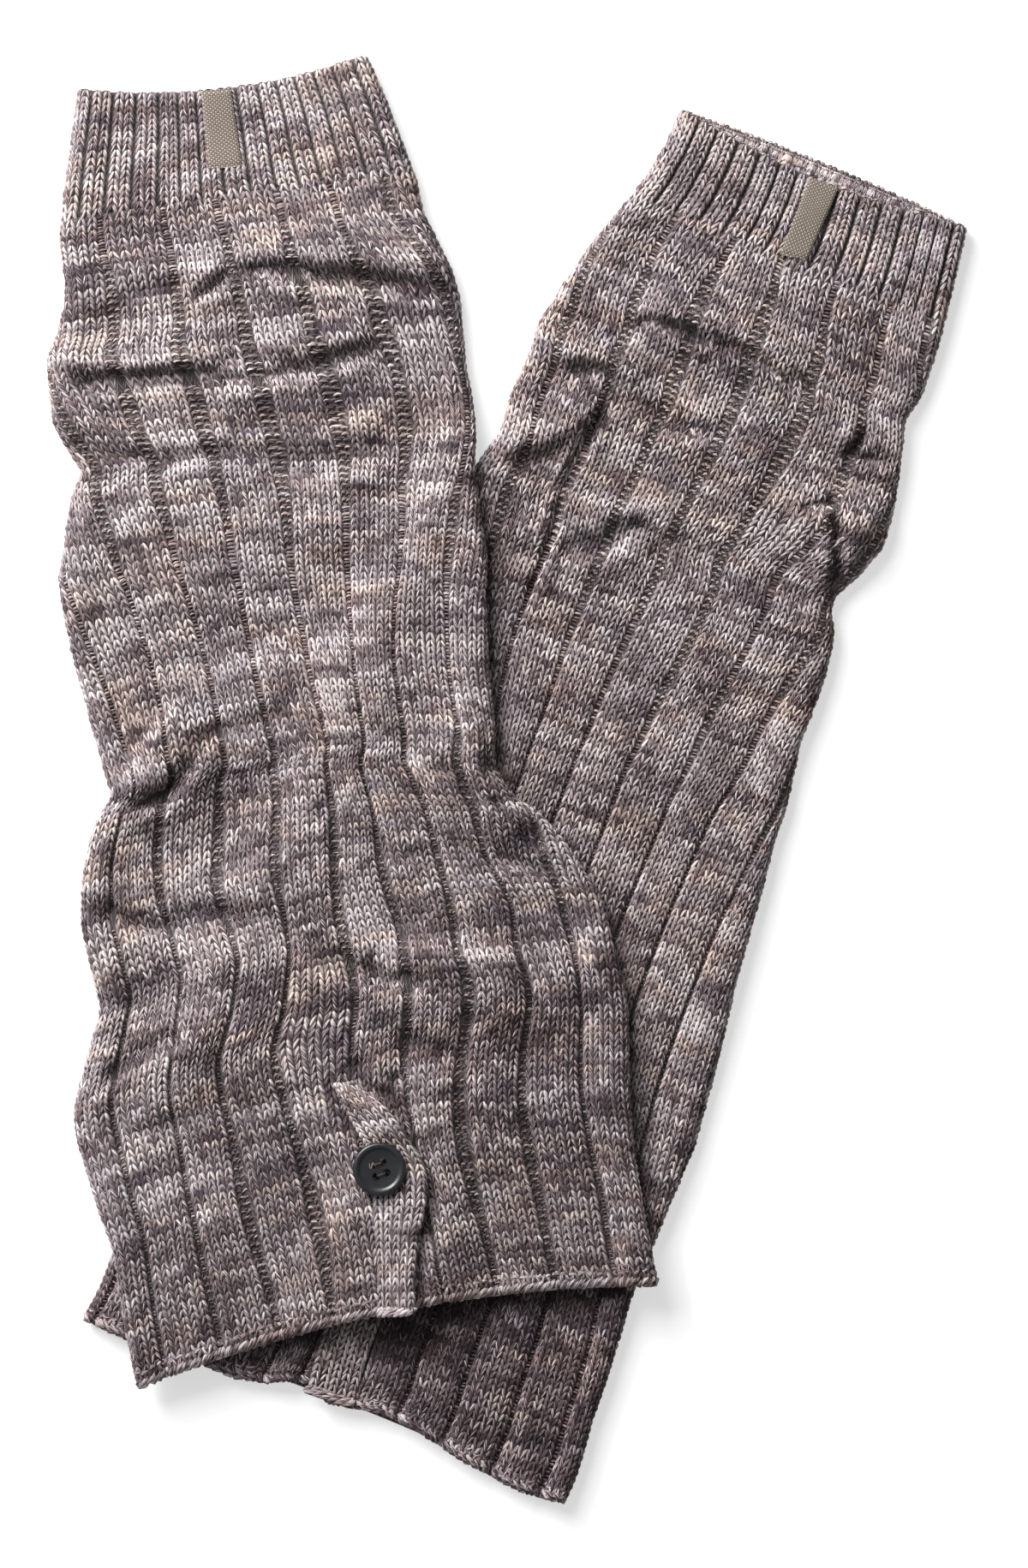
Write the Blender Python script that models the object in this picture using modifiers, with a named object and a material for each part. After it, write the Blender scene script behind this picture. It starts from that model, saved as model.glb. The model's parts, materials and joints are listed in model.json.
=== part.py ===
"""Pair of knitted leg warmers, laid flat, the left one resting on the right one.

All sizes are in millimetres and are turned into metres when the meshes are made.
X runs across, Y from hem to cuff, Z up from the surface on which the pair lies.
The origin is the middle of the pair's outline, on that surface.
"""
import math

import bmesh
import bpy
import numpy as np
from mathutils import Vector
from mathutils.bvhtree import BVHTree

MM = 0.001

# ---- driving dimensions ------------------------------------------------------
WALL = 2.2              # knitted cloth
LAY_GAP = 1.4           # front panel over back panel
FLAT = 2 * WALL + LAY_GAP   # a leg lying flat
SIDE_SWELL = 1.3        # extra height where the cloth turns over at a side
SIDE_REACH = 9.0        # how far that swell reaches in from the side
PRESSED_Y = 90.0        # below this the right leg's left side is pressed flat
SEAM = 0.3              # space between pieces
SEAM_CUFF = 0.4         # space between cuff and leg
CUFF_SHORT = 4.0        # the cuff ends this far above its section row
REST_GAP = 0.9          # left leg above right leg
DRAPE = 26.0            # width of the slope down from the right leg to the floor
CUFF_ROW = 3            # row of the sections where the cuff ribbing ends
BAND_THICK = 2.0        # button band laid on the front panel
TAPE_THICK = 0.7        # folded label tape
BUTTON_RADIUS = 9.3
BUTTON_THICK = 3.0
BUTTON_RIM = 1.9        # width of the raised rim
BUTTON_DISH = 0.6       # depth inside the rim
BUTTON_HOLE_RADIUS = 1.05
BUTTON_HOLE_PITCH = 1.95    # hole centre from the middle, along each axis
LEFT_FRONT_STEPS = 14   # even points across each panel
LEFT_BACK_STEPS = 9
RIGHT_FRONT_STEPS = 17
RIGHT_BACK_STEPS = 4

# ---- sections, one row for each, from cuff to hem ----------------------------
# left_x, left_y, right_x, right_y: the two side folds of the flat tube
# bow: how far the middle of the course lies towards the cuff
SECTION = ("left_x", "left_y", "right_x", "right_y", "bow")
LEFT_SECTIONS = (
    (-149.7, 241.2, -49.5, 253.2, -6.0),
    (-151.8, 225.0, -43.2, 239.4, -3.6),
    (-154.2, 208.2, -37.5, 224.4, -1.2),
    (-156.3, 190.8, -32.1, 210.0, 0.9),
    (-155.4, 180.9, -29.7, 198.0, 1.8),
    (-154.5, 173.4, -24.9, 188.4, 2.4),
    (-155.1, 164.1, -20.1, 178.8, 2.4),
    (-157.2, 155.4, -16.5, 167.4, 1.8),
    (-161.1, 146.7, -15.6, 153.9, 1.8),
    (-160.2, 138.0, -14.4, 143.4, 1.8),
    (-158.4, 124.2, -11.7, 128.4, 2.4),
    (-153.3, 115.2, -11.1, 118.8, 3.0),
    (-147.6, 107.1, -11.7, 111.0, 3.6),
    (-151.5, 100.2, -11.4, 103.8, 4.2),
    (-153.9, 87.9, -9.6, 93.0, 4.8),
    (-156.6, 68.7, -7.2, 77.4, 5.4),
    (-152.1, 45.6, -7.2, 58.8, 6.0),
    (-146.1, 23.7, -6.0, 36.9, 6.6),
    (-140.1, 1.8, -4.2, 19.8, 7.2),
    (-137.1, -7.8, -4.2, 12.0, 7.8),
    (-143.4, -15.0, -4.5, 3.9, 8.4),
    (-146.4, -26.1, 2.7, -6.6, 8.4),
    (-148.2, -36.3, 10.5, -12.0, 8.4),
    (-148.2, -52.2, 20.1, -23.1, 8.4),
    (-143.4, -73.8, 31.8, -40.5, 8.4),
    (-141.3, -80.4, 34.2, -46.8, 8.4),
    (-147.9, -104.4, 40.5, -70.5, 8.4),
    (-150.9, -115.8, 42.6, -81.6, 8.4),
    (-150.0, -126.6, 43.2, -91.8, 8.4),
    (-144.3, -144.6, 43.2, -109.8, 8.4),
    (-136.5, -166.5, 45.0, -132.0, 8.4),
    (-132.9, -191.7, 48.9, -156.3, 8.7),
    (-128.4, -213.3, 52.8, -177.0, 9.3),
)
RIGHT_SECTIONS = (
    (61.8, 234.0, 161.1, 192.9, 1.8),
    (56.4, 221.9, 157.9, 180.0, 0.6),
    (49.8, 210.6, 155.1, 167.3, 0.0),
    (41.6, 201.1, 152.0, 155.1, 0.0),
    (32.7, 189.9, 147.8, 141.5, 0.0),
    (27.5, 183.3, 145.2, 133.5, 0.0),
    (21.5, 174.6, 139.2, 124.8, 0.0),
    (18.0, 168.9, 139.2, 118.1, 0.0),
    (11.8, 159.5, 137.7, 107.0, 0.0),
    (8.7, 148.2, 135.8, 95.5, 0.0),
    (2.1, 134.3, 131.7, 80.7, 0.0),
    (-1.3, 122.0, 123.3, 71.1, 0.0),
    (-7.6, 112.5, 114.6, 63.6, 0.0),
    (-11.4, 107.7, 113.0, 57.8, 0.0),
    (-14.6, 100.8, 114.6, 50.4, 0.0),
    (-20.2, 88.9, 111.8, 37.5, 0.0),
    (-26.2, 76.7, 107.7, 24.6, 0.0),
    (-31.8, 65.4, 103.2, 12.9, 0.0),
    (-42.1, 42.8, 97.5, -11.1, 0.0),
    (-46.2, 33.6, 93.8, -20.5, 0.0),
    (-61.8, -3.6, 83.9, -59.5, 0.0),
    (-78.6, -40.8, 74.0, -99.0, 0.6),
    (-91.8, -69.6, 65.6, -129.5, 1.3),
    (-104.1, -92.4, 56.1, -153.4, 1.8),
    (-117.3, -120.6, 43.7, -182.0, 2.5),
    (-130.2, -145.5, 35.3, -208.6, 3.2),
    (-135.9, -162.6, 29.4, -225.6, 3.6),
    (-141.3, -177.6, 25.3, -241.0, 3.9),
    (-147.3, -189.3, 20.4, -253.2, 4.2),
)
MOUTH_DROP = 6.3        # right cuff: front edge below the back edge
MOUTH_REACH = 22.0      # where that drop has died out, along the leg
UNDERLAP_LIFT = 7.0     # right hem: underlap above the flap's hem
UNDERLAP_REACH = 16.0

# ---- folds of the front panels, one row for each -----------------------------
# a ridge runs from start over mid to end, drawn from left to right
# cuff_side, hem_side: half widths of its two slopes
FOLD = ("start_x", "start_y", "mid_x", "mid_y", "end_x", "end_y",
        "height", "cuff_side", "hem_side")
LEFT_FOLDS = (
    (-92.0, 183.0, -48.0, 181.0, -14.0, 172.0, 4.0, 15.0, 3.4),
    (-154.0, 166.0, -120.0, 172.0, -88.0, 181.0, 1.4, 10.0, 7.0),
    (-162.0, 147.0, -134.0, 144.0, -104.0, 147.0, 3.6, 12.0, 3.4),
    (-90.0, 149.0, -66.0, 152.0, -44.0, 157.0, 2.4, 9.0, 3.4),
    (-158.0, 126.0, -140.0, 120.0, -126.0, 118.0, 2.4, 7.0, 4.0),
    (-112.0, 133.0, -70.0, 138.0, -28.0, 132.0, 1.2, 6.0, 14.0),
    (-155.0, 70.0, -104.0, 84.0, -44.0, 78.0, 1.6, 24.0, 26.0),
    (-141.0, -14.0, -126.0, 8.0, -112.0, 27.0, 4.4, 3.2, 22.0),
    (-112.0, 27.0, -68.0, 38.0, -24.0, 25.0, 2.6, 9.0, 24.0),
    (-24.0, 25.0, -2.0, 6.0, 16.0, -18.0, 4.6, 4.0, 18.0),
    (-140.0, -44.0, -110.0, -40.0, -84.0, -42.0, 1.4, 12.0, 10.0),
    (-44.0, -58.0, -18.0, -63.0, 10.0, -66.0, 4.0, 4.4, 20.0),
    (10.0, -66.0, 24.0, -66.0, 34.0, -60.0, 2.4, 7.0, 14.0),
    (-151.0, -116.0, -128.0, -102.0, -100.0, -86.0, 2.8, 9.0, 16.0),
    (-148.0, -66.0, -120.0, -62.0, -92.0, -66.0, 1.6, 8.0, 10.0),
    (-130.0, -150.0, -104.0, -154.0, -76.0, -150.0, 1.0, 14.0, 14.0),
    (2.0, -118.0, 20.0, -116.0, 38.0, -112.0, 1.2, 14.0, 14.0),
)
RIGHT_FOLDS = (
    (44.0, 164.0, 72.0, 152.0, 104.0, 134.0, 4.0, 13.0, 3.6),
    (104.0, 134.0, 116.0, 126.0, 126.0, 112.0, 2.0, 9.0, 6.0),
    (12.0, 150.0, 34.0, 146.0, 50.0, 136.0, 3.0, 8.0, 3.6),
    (-4.0, 116.0, 16.0, 120.0, 34.0, 134.0, 4.0, 9.0, 3.4),
    (62.0, 128.0, 80.0, 122.0, 98.0, 112.0, 1.8, 5.0, 12.0),
    (108.0, 90.0, 120.0, 92.0, 130.0, 84.0, 4.2, 6.0, 12.0),
    (112.0, 72.0, 118.0, 78.0, 126.0, 76.0, 2.6, 8.0, 4.0),
    (28.0, 92.0, 46.0, 92.0, 62.0, 84.0, 2.0, 10.0, 4.4),
    (56.0, 62.0, 80.0, 48.0, 104.0, 34.0, 1.0, 16.0, 18.0),
)

# ---- button bands, one row for each section, from hem upwards ----------------
BAND = ("left_x", "left_y", "right_x", "right_y")
LEFT_BAND = (
    (-45.0, -188.6, -31.8, -187.8),
    (-45.0, -171.6, -31.8, -171.6),
    (-45.9, -158.7, -30.3, -158.7),
    (-46.5, -148.8, -27.6, -148.8),
    (-47.4, -139.2, -27.3, -139.2),
    (-48.3, -131.1, -29.1, -132.6),
    (-50.1, -126.9, -33.0, -127.5),
    (-53.1, -122.4, -36.9, -121.5),
    (-56.4, -117.0, -41.7, -114.9),
    (-58.5, -111.6, -47.7, -111.0),
    (-60.6, -106.2, -54.3, -105.3),
)
RIGHT_BAND = (
    (-69.6, -214.2, -53.1, -219.6),
    (-64.8, -195.6, -48.3, -202.2),
    (-57.9, -177.6, -41.7, -184.2),
    (-51.3, -159.6, -35.1, -166.2),
    (-45.3, -144.6, -30.3, -152.4),
    (-41.7, -137.1, -26.7, -143.1),
    (-34.8, -128.1, -20.7, -133.5),
    (-27.3, -119.1, -16.5, -124.2),
    (-19.8, -112.5, -15.0, -115.5),
)
LEFT_BUTTON = (-44.2, -136.5)
RIGHT_BUTTON = (-38.4, -168.6)
BUTTON_TURN = 20.0      # degrees

# ---- label tapes, corners: top left, top right, bottom right, bottom left -----
LABEL = ("top_left", "top_right", "low_right", "low_left")
LEFT_LABEL = ((-106.8, 240.4), (-96.3, 241.4), (-92.4, 214.2), (-104.1, 213.3))
RIGHT_LABEL = ((106.5, 210.3), (116.7, 207.0), (105.3, 181.2), (95.7, 183.3))


def smooth(a, b, x):
    t = np.clip((np.asarray(x, float) - a) / (b - a), 0.0, 1.0)
    return t * t * (3 - 2 * t)


def chain_distance(points, x, y):
    """Distance to a chain of points and the side on which (x, y) lies."""
    pts = np.asarray(points, float)
    best = np.full(np.shape(x), 1e9)
    side = np.zeros(np.shape(x))
    where = np.zeros(np.shape(x))
    n = len(pts) - 1
    for i in range(n):
        ax, ay = pts[i]
        bx, by = pts[i + 1]
        dx, dy = bx - ax, by - ay
        ll = dx * dx + dy * dy
        t = np.clip(((x - ax) * dx + (y - ay) * dy) / ll, 0, 1)
        d = np.hypot(x - ax - t * dx, y - ay - t * dy)
        s = dx * (y - ay) - dy * (x - ax)
        near = d < best
        best = np.where(near, d, best)
        side = np.where(near, s, side)
        where = np.where(near, (i + t) / n, where)
    return best, side, where


def fold_height(folds, x, y):
    """Relief of a front panel: the highest of its ridges at each point."""
    out = np.zeros(np.shape(x))
    steps = np.linspace(0, 1, 9)
    for row in folds:
        f = dict(zip(FOLD, row))
        cx = 2 * f["mid_x"] - 0.5 * (f["start_x"] + f["end_x"])
        cy = 2 * f["mid_y"] - 0.5 * (f["start_y"] + f["end_y"])
        line = [((1 - s) ** 2 * f["start_x"] + 2 * s * (1 - s) * cx + s * s * f["end_x"],
                 (1 - s) ** 2 * f["start_y"] + 2 * s * (1 - s) * cy + s * s * f["end_y"])
                for s in steps]
        d, side, where = chain_distance(line, x, y)
        width = np.where(side > 0, f["cuff_side"], f["hem_side"])
        fade = 0.35 + 0.65 * smooth(0.0, 0.2, where) * smooth(1.0, 0.8, where)
        out = np.maximum(out, f["height"] * fade * np.exp(-(d / width) ** 2))
    return out


def outline(sections):
    left = [(r[0], r[1]) for r in sections]
    right = [(r[2], r[3]) for r in sections]
    return left + right[::-1]


def inside_distance(polygon, x, y):
    """Distance to a closed outline, positive inside it."""
    ring = list(polygon) + [polygon[0]]
    d, _, _ = chain_distance(ring, x, y)
    odd = np.zeros(np.shape(x), bool)
    for (ax, ay), (bx, by) in zip(ring[:-1], ring[1:]):
        if ay == by:
            continue
        cross = ((ay > y) != (by > y)) & (x < (bx - ax) * (y - ay) / (by - ay) + ax)
        odd ^= cross
    return np.where(odd, d, -d)


def side_distances(sections, x, y):
    """Distances in from the left and the right side fold."""
    left, _, _ = chain_distance([(r[0], r[1]) for r in sections], x, y)
    right, _, _ = chain_distance([(r[2], r[3]) for r in sections], x, y)
    return left, right


def swell(depth):
    """Extra height near a side, where the cloth turns over."""
    return SIDE_SWELL * np.exp(-((depth - 0.6 * SIDE_REACH) / (0.6 * SIDE_REACH)) ** 2)


def band_mask(band, x, y, reach):
    """1 on a button band, falling to 0 over reach around it."""
    left = [(r[0], r[1]) for r in band]
    right = [(r[2], r[3]) for r in band]
    d = inside_distance(left + right[::-1], x, y)
    return smooth(-reach, -0.3 * reach, d)


def right_top(x, y):
    """Top of the right leg's front panel."""
    left, right = side_distances(RIGHT_SECTIONS, x, y)
    edge = smooth(0.0, 6.0, np.minimum(left, right))
    sides = np.maximum(swell(left) * smooth(PRESSED_Y, PRESSED_Y + 20.0, y), swell(right))
    return FLAT + sides + edge * fold_height(RIGHT_FOLDS, x, y)


def left_floor(x, y):
    """Underside of the left leg: the floor, or the right leg where that lies beneath."""
    d = inside_distance(outline(RIGHT_SECTIONS), x, y)
    rise = smooth(-DRAPE, -2.5, d)
    top = right_top(x, y) + REST_GAP
    top = top + (BAND_THICK + SEAM) * band_mask(RIGHT_BAND, x, y, 24.0)
    button = np.hypot(x - RIGHT_BUTTON[0], y - RIGHT_BUTTON[1])
    top = top + (BUTTON_THICK + SEAM) * smooth(BUTTON_RADIUS + 28.0, BUTTON_RADIUS + 7.0, button)
    return rise * top


def left_top(x, y):
    left, right = side_distances(LEFT_SECTIONS, x, y)
    depth = np.minimum(left, right)
    edge = smooth(0.0, 6.0, depth)
    return left_floor(x, y) + FLAT + swell(depth) + edge * fold_height(LEFT_FOLDS, x, y)


def stations(sections):
    """Place of each section along the leg, in millimetres of its middle line."""
    mid = [((r[0] + r[2]) / 2, (r[1] + r[3]) / 2) for r in sections]
    out = [0.0]
    for a, b in zip(mid[:-1], mid[1:]):
        out.append(out[-1] + math.hypot(b[0] - a[0], b[1] - a[1]))
    return out


def section_at(sections, place):
    where = stations(sections)
    return [float(np.interp(place, where, [r[k] for r in sections])) for k in range(5)]


def course_points(sections, place, u, front, right):
    """Points of a course in plan: u runs from the left side fold to the right one."""
    lx, ly, rx, ry, bow = section_at(sections, place)
    wide = math.hypot(rx - lx, ry - ly)
    ex, ey = (rx - lx) / wide, (ry - ly) / wide
    shift = bow * 4 * u * (1 - u)
    if front and right:
        total = stations(sections)[-1]
        shift = shift - MOUTH_DROP * np.sin(math.pi * u) * smooth(MOUTH_REACH, 0.0, place)
        lap = smooth(0.50, 0.44, u) * smooth(0.0, 0.12, u)
        shift = shift + UNDERLAP_LIFT * lap * smooth(total - UNDERLAP_REACH, total, place)
    return lx + ex * wide * u - ey * shift, ly + ey * wide * u + ex * shift, wide


def slope_points(sections, place, wide):
    """Where a section of the left leg climbs onto the right leg, along the section."""
    u = np.linspace(0.0, 1.0, 81)
    x, y, _ = course_points(sections, place, u, False, False)
    d = inside_distance(outline(RIGHT_SECTIONS), x, y)
    over = np.nonzero(d > 0)[0]
    if len(over) == 0:
        edge = 1.0
    elif over[0] == 0:
        edge = 0.0
    else:
        k = over[0]
        edge = float(u[k - 1] + (u[k] - u[k - 1]) * (-d[k - 1]) / (d[k] - d[k - 1]))
    return [edge * wide + off for off in (-1.15 * DRAPE, -0.75 * DRAPE, -0.4 * DRAPE, -1.5)]


def spread(wide, margin, steps, extra):
    """Even points across a panel, with extra ones slipped in, in order."""
    even = [margin + (wide - 2 * margin) * k / (steps - 1) for k in range(steps)]
    first = [min(max(v, margin + 0.8 * (k + 1)), wide - margin - 0.8 * (len(extra) - k))
             for k, v in enumerate(extra)]
    out = sorted(even + first)
    for k in range(1, len(out)):
        out[k] = max(out[k], out[k - 1] + 0.5)
    return out


def leg_ring(sections, place, right):
    """Outer points of one section, over the front and back under the back panel."""
    top = right_top if right else left_top
    floor = (lambda x, y: 0.0 * x) if right else left_floor
    wide = float(course_points(sections, place, np.array([0.5]), False, right)[2])
    turn = 0.5 * (FLAT + 0.5 * SIDE_SWELL)
    rounds = [turn * (1 - math.cos(math.radians(a))) for a in (0, 42, 76)]
    extra = [] if right else slope_points(sections, place, wide)
    inner = spread(wide, turn * 1.5, RIGHT_FRONT_STEPS if right else LEFT_FRONT_STEPS, extra)
    front = np.array(rounds + inner + [wide - s for s in rounds[::-1]])
    inner = spread(wide, turn * 1.5, RIGHT_BACK_STEPS if right else LEFT_BACK_STEPS, extra)
    back = np.array(rounds[1:] + inner + [wide - s for s in rounds[:0:-1]])[::-1]
    ring = []
    for s, is_front in ((front, True), (back, False)):
        x, y, _ = course_points(sections, place, s / wide, is_front, right)
        x0, y0, _ = course_points(sections, place, np.clip(s, turn, wide - turn) / wide, is_front, right)
        low, high = floor(x0, y0), top(x0, y0)
        near = np.minimum(s, wide - s)
        half = 0.5 * (high - low)
        bend = np.sqrt(np.clip(1 - (1 - np.minimum(near, turn) / turn) ** 2, 0.0, 1.0))
        z = low + half + (half if is_front else -half) * bend
        ring += [(float(a), float(b), float(c)) for a, b, c in zip(x, y, z)]
    return ring


def add_object(name, verts, faces):
    mesh = bpy.data.meshes.new(name)
    mesh.from_pydata([(x * MM, y * MM, z * MM) for x, y, z in verts], [], faces)
    mesh.validate()
    obj = bpy.data.objects.new(name, mesh)
    bpy.context.scene.collection.objects.link(obj)
    bm = bmesh.new()
    bm.from_mesh(mesh)
    bmesh.ops.recalc_face_normals(bm, faces=bm.faces)
    bm.to_mesh(mesh)
    bm.free()
    return obj


def tube(name, sections, places, right):
    """Skin of a tube through its sections, thickened inwards by Solidify."""
    rings = [leg_ring(sections, p, right) for p in places]
    n = len(rings[0])
    verts = [v for ring in rings for v in ring]
    faces = []
    for i in range(len(rings) - 1):
        for k in range(n):
            j = (k + 1) % n
            faces.append((i * n + k, (i + 1) * n + k, (i + 1) * n + j, i * n + j))
    obj = add_object(name, verts, faces)
    # an open skin: face outwards, judged on the front panel
    up = sum(p.normal.z for p in obj.data.polygons if p.center.z > 0.5 * FLAT * MM)
    if up < 0:
        obj.data.flip_normals()
    wall = obj.modifiers.new("wall", "SOLIDIFY")
    wall.thickness = WALL * MM
    wall.offset = -1.0
    wall.use_even_offset = True
    wall.use_rim = True
    return obj, BVHTree.FromPolygons([Vector(v) for v in verts], faces)


def panel_top(skin, x, y, reach):
    """Highest point of a panel's faces within reach of (x, y)."""
    best = 0.0
    while best == 0.0:
        for r in (0.0, 0.5 * reach, reach):
            for k in range(8 if r else 1):
                a = math.pi * k / 4
                hit = skin.ray_cast(Vector((x + r * math.cos(a), y + r * math.sin(a), 100.0)), Vector((0, 0, -1)))
                if hit[0] is not None and hit[1].z > 0.0:
                    best = max(best, hit[0].z)
        reach += 1.0
    return best


def laid_strip(name, rows, skin, thick, reach, round_edge):
    """A strip of cloth on the front panel, made from the panel's points moved out."""
    verts, faces = [], []
    n = len(thick)
    for lx, ly, rx, ry in rows:
        for k in range(n):
            u = k / (n - 1)
            x, y = lx + (rx - lx) * u, ly + (ry - ly) * u
            z = panel_top(skin, x, y, reach) + SEAM
            verts.append((x, y, z))
        for k in range(n):
            u = k / (n - 1)
            inset = round_edge if k in (0, n - 1) else 0.0
            wide = math.hypot(rx - lx, ry - ly)
            u2 = min(max(u, inset / wide), 1 - inset / wide)
            x, y = lx + (rx - lx) * u2, ly + (ry - ly) * u2
            z = panel_top(skin, x, y, reach) + SEAM + thick[k]
            verts.append((x, y, z))
    m = 2 * n
    for i in range(len(rows) - 1):
        a, b = i * m, (i + 1) * m
        for k in range(n - 1):
            faces.append((a + k, a + k + 1, b + k + 1, b + k))
            faces.append((a + n + k, b + n + k, b + n + k + 1, a + n + k + 1))
        faces.append((a, b, b + n, a + n))
        faces.append((a + n - 1, a + m - 1, b + m - 1, b + n - 1))
    last = (len(rows) - 1) * m
    for k in range(n - 1):
        faces.append((k, n + k, n + k + 1, k + 1))
        faces.append((last + k, last + k + 1, last + n + k + 1, last + n + k))
    return add_object(name, verts, faces)


def label_rows(label, count):
    c = dict(zip(LABEL, label))
    rows = []
    for i in range(count + 1):
        t = i / count
        rows.append((c["top_left"][0] * (1 - t) + c["low_left"][0] * t,
                     c["top_left"][1] * (1 - t) + c["low_left"][1] * t,
                     c["top_right"][0] * (1 - t) + c["low_right"][0] * t,
                     c["top_right"][1] * (1 - t) + c["low_right"][1] * t))
    return rows


def button(name, centre, low):
    """Turned disc with a raised rim, and four holes cut through."""
    r, t = BUTTON_RADIUS, BUTTON_THICK
    profile = [(0.0, 0.0), (r - 1.6, 0.0), (r - 0.5, 0.4), (r, 1.3), (r - 0.15, t - 0.7),
               (r - 0.7, t), (r - BUTTON_RIM + 0.5, t), (r - BUTTON_RIM, t - BUTTON_DISH),
               (0.0, t - BUTTON_DISH)]
    mesh = bpy.data.meshes.new(name)
    mesh.from_pydata([(x * MM, 0.0, z * MM) for x, z in profile], [(i, i + 1) for i in range(len(profile) - 1)], [])
    obj = bpy.data.objects.new(name, mesh)
    bpy.context.scene.collection.objects.link(obj)
    spin = obj.modifiers.new("turned", "SCREW")
    spin.steps = spin.render_steps = 40
    spin.use_merge_vertices = True
    spin.merge_threshold = 0.00005
    spin.use_normal_calculate = True
    spot = 0
    for sx in (-1, 1):
        for sy in (-1, 1):
            bpy.ops.mesh.primitive_cylinder_add(vertices=14, radius=BUTTON_HOLE_RADIUS * MM, depth=4 * t * MM)
            hole = bpy.context.object
            hole.name = "%s_cutter_%d" % (name, spot)
            spot += 1
            a = math.radians(BUTTON_TURN)
            hx, hy = sx * BUTTON_HOLE_PITCH, sy * BUTTON_HOLE_PITCH
            hole.location = ((centre[0] + hx * math.cos(a) - hy * math.sin(a)) * MM,
                             (centre[1] + hx * math.sin(a) + hy * math.cos(a)) * MM, (low + t / 2) * MM)
            hole.display_type = "WIRE"
            hole.hide_render = True
            cut = obj.modifiers.new("hole_%d" % spot, "BOOLEAN")
            cut.operation = "DIFFERENCE"
            cut.solver = "EXACT"
            cut.object = hole
    obj.location = (centre[0] * MM, centre[1] * MM, low * MM)
    return obj


def material(name, colour, rough):
    mat = bpy.data.materials.new(name)
    mat.use_nodes = True
    node = mat.node_tree.nodes["Principled BSDF"]
    node.inputs["Base Color"].default_value = (*colour, 1.0)
    node.inputs["Roughness"].default_value = rough
    return mat


def dress(obj, name, colour, rough):
    obj.data.materials.clear()
    obj.data.materials.append(material(name, colour, rough))


def leg(side, sections, band, label, button_at, right):
    where = stations(sections)
    seam = where[CUFF_ROW] - CUFF_SHORT
    upper = where[:CUFF_ROW] + [seam - SEAM_CUFF / 2]
    lower = [seam + SEAM_CUFF / 2] + where[CUFF_ROW:]
    cuff, cuff_skin = tube(side + "_cuff", sections, upper, right)
    dress(cuff, side + "_cuff_rib", (0.23, 0.20, 0.20), 0.9)
    body, body_skin = tube(side + "_leg", sections, lower, right)
    dress(body, side + "_leg_knit", (0.21, 0.18, 0.18), 0.9)
    thick = [0.9, 1.7, BAND_THICK, BAND_THICK, 1.5]
    if right:
        thick = thick[::-1]
    flap = laid_strip(side + "_placket", band, body_skin, thick, 4.0, 0.4)
    dress(flap, side + "_placket_knit", (0.22, 0.19, 0.19), 0.9)
    tape = laid_strip(side + "_label", label_rows(label, 5), cuff_skin, [TAPE_THICK] * 3, 2.0, 0.0)
    dress(tape, side + "_label_tape", (0.26, 0.23, 0.19), 0.85)
    # the button clears the panel and the band everywhere under it
    low = 0.0
    for r in (0.0, 0.5, 1.0):
        for a in range(0, 360, 30):
            x = button_at[0] + r * BUTTON_RADIUS * math.cos(math.radians(a))
            y = button_at[1] + r * BUTTON_RADIUS * math.sin(math.radians(a))
            low = max(low, panel_top(body_skin, x, y, 4.0) + BAND_THICK + 2 * SEAM)
    disc = button(side + "_button", button_at, low)
    dress(disc, side + "_button_resin", (0.02, 0.023, 0.026), 0.35)


for old in list(bpy.data.objects):
    bpy.data.objects.remove(old)

leg("right", RIGHT_SECTIONS, RIGHT_BAND, RIGHT_LABEL, RIGHT_BUTTON, True)
leg("left", LEFT_SECTIONS, LEFT_BAND, LEFT_LABEL, LEFT_BUTTON, False)
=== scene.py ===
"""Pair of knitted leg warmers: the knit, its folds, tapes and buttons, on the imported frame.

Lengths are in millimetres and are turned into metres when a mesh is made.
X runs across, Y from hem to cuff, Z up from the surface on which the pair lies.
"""
import json
import math

import bmesh
import bpy
import numpy as np
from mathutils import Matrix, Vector
from mathutils.kdtree import KDTree

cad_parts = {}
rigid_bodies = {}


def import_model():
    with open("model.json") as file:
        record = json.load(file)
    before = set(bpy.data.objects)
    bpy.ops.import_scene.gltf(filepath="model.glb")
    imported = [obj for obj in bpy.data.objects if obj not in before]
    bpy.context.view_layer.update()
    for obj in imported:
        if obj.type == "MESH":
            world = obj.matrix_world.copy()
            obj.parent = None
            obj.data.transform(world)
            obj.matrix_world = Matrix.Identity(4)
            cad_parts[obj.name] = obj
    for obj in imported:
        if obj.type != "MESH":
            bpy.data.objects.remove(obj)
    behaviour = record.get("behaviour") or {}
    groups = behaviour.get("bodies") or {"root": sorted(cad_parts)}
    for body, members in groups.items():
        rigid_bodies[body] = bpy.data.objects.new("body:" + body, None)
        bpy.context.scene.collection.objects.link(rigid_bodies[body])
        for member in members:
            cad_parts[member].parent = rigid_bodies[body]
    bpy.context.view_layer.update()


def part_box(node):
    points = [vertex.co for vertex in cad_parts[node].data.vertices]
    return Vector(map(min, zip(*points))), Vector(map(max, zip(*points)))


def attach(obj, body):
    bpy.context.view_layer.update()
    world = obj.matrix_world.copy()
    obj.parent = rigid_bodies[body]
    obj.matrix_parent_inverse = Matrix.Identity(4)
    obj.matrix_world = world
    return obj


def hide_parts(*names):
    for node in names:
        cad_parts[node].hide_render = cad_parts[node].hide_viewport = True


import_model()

MM = 0.001

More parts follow.
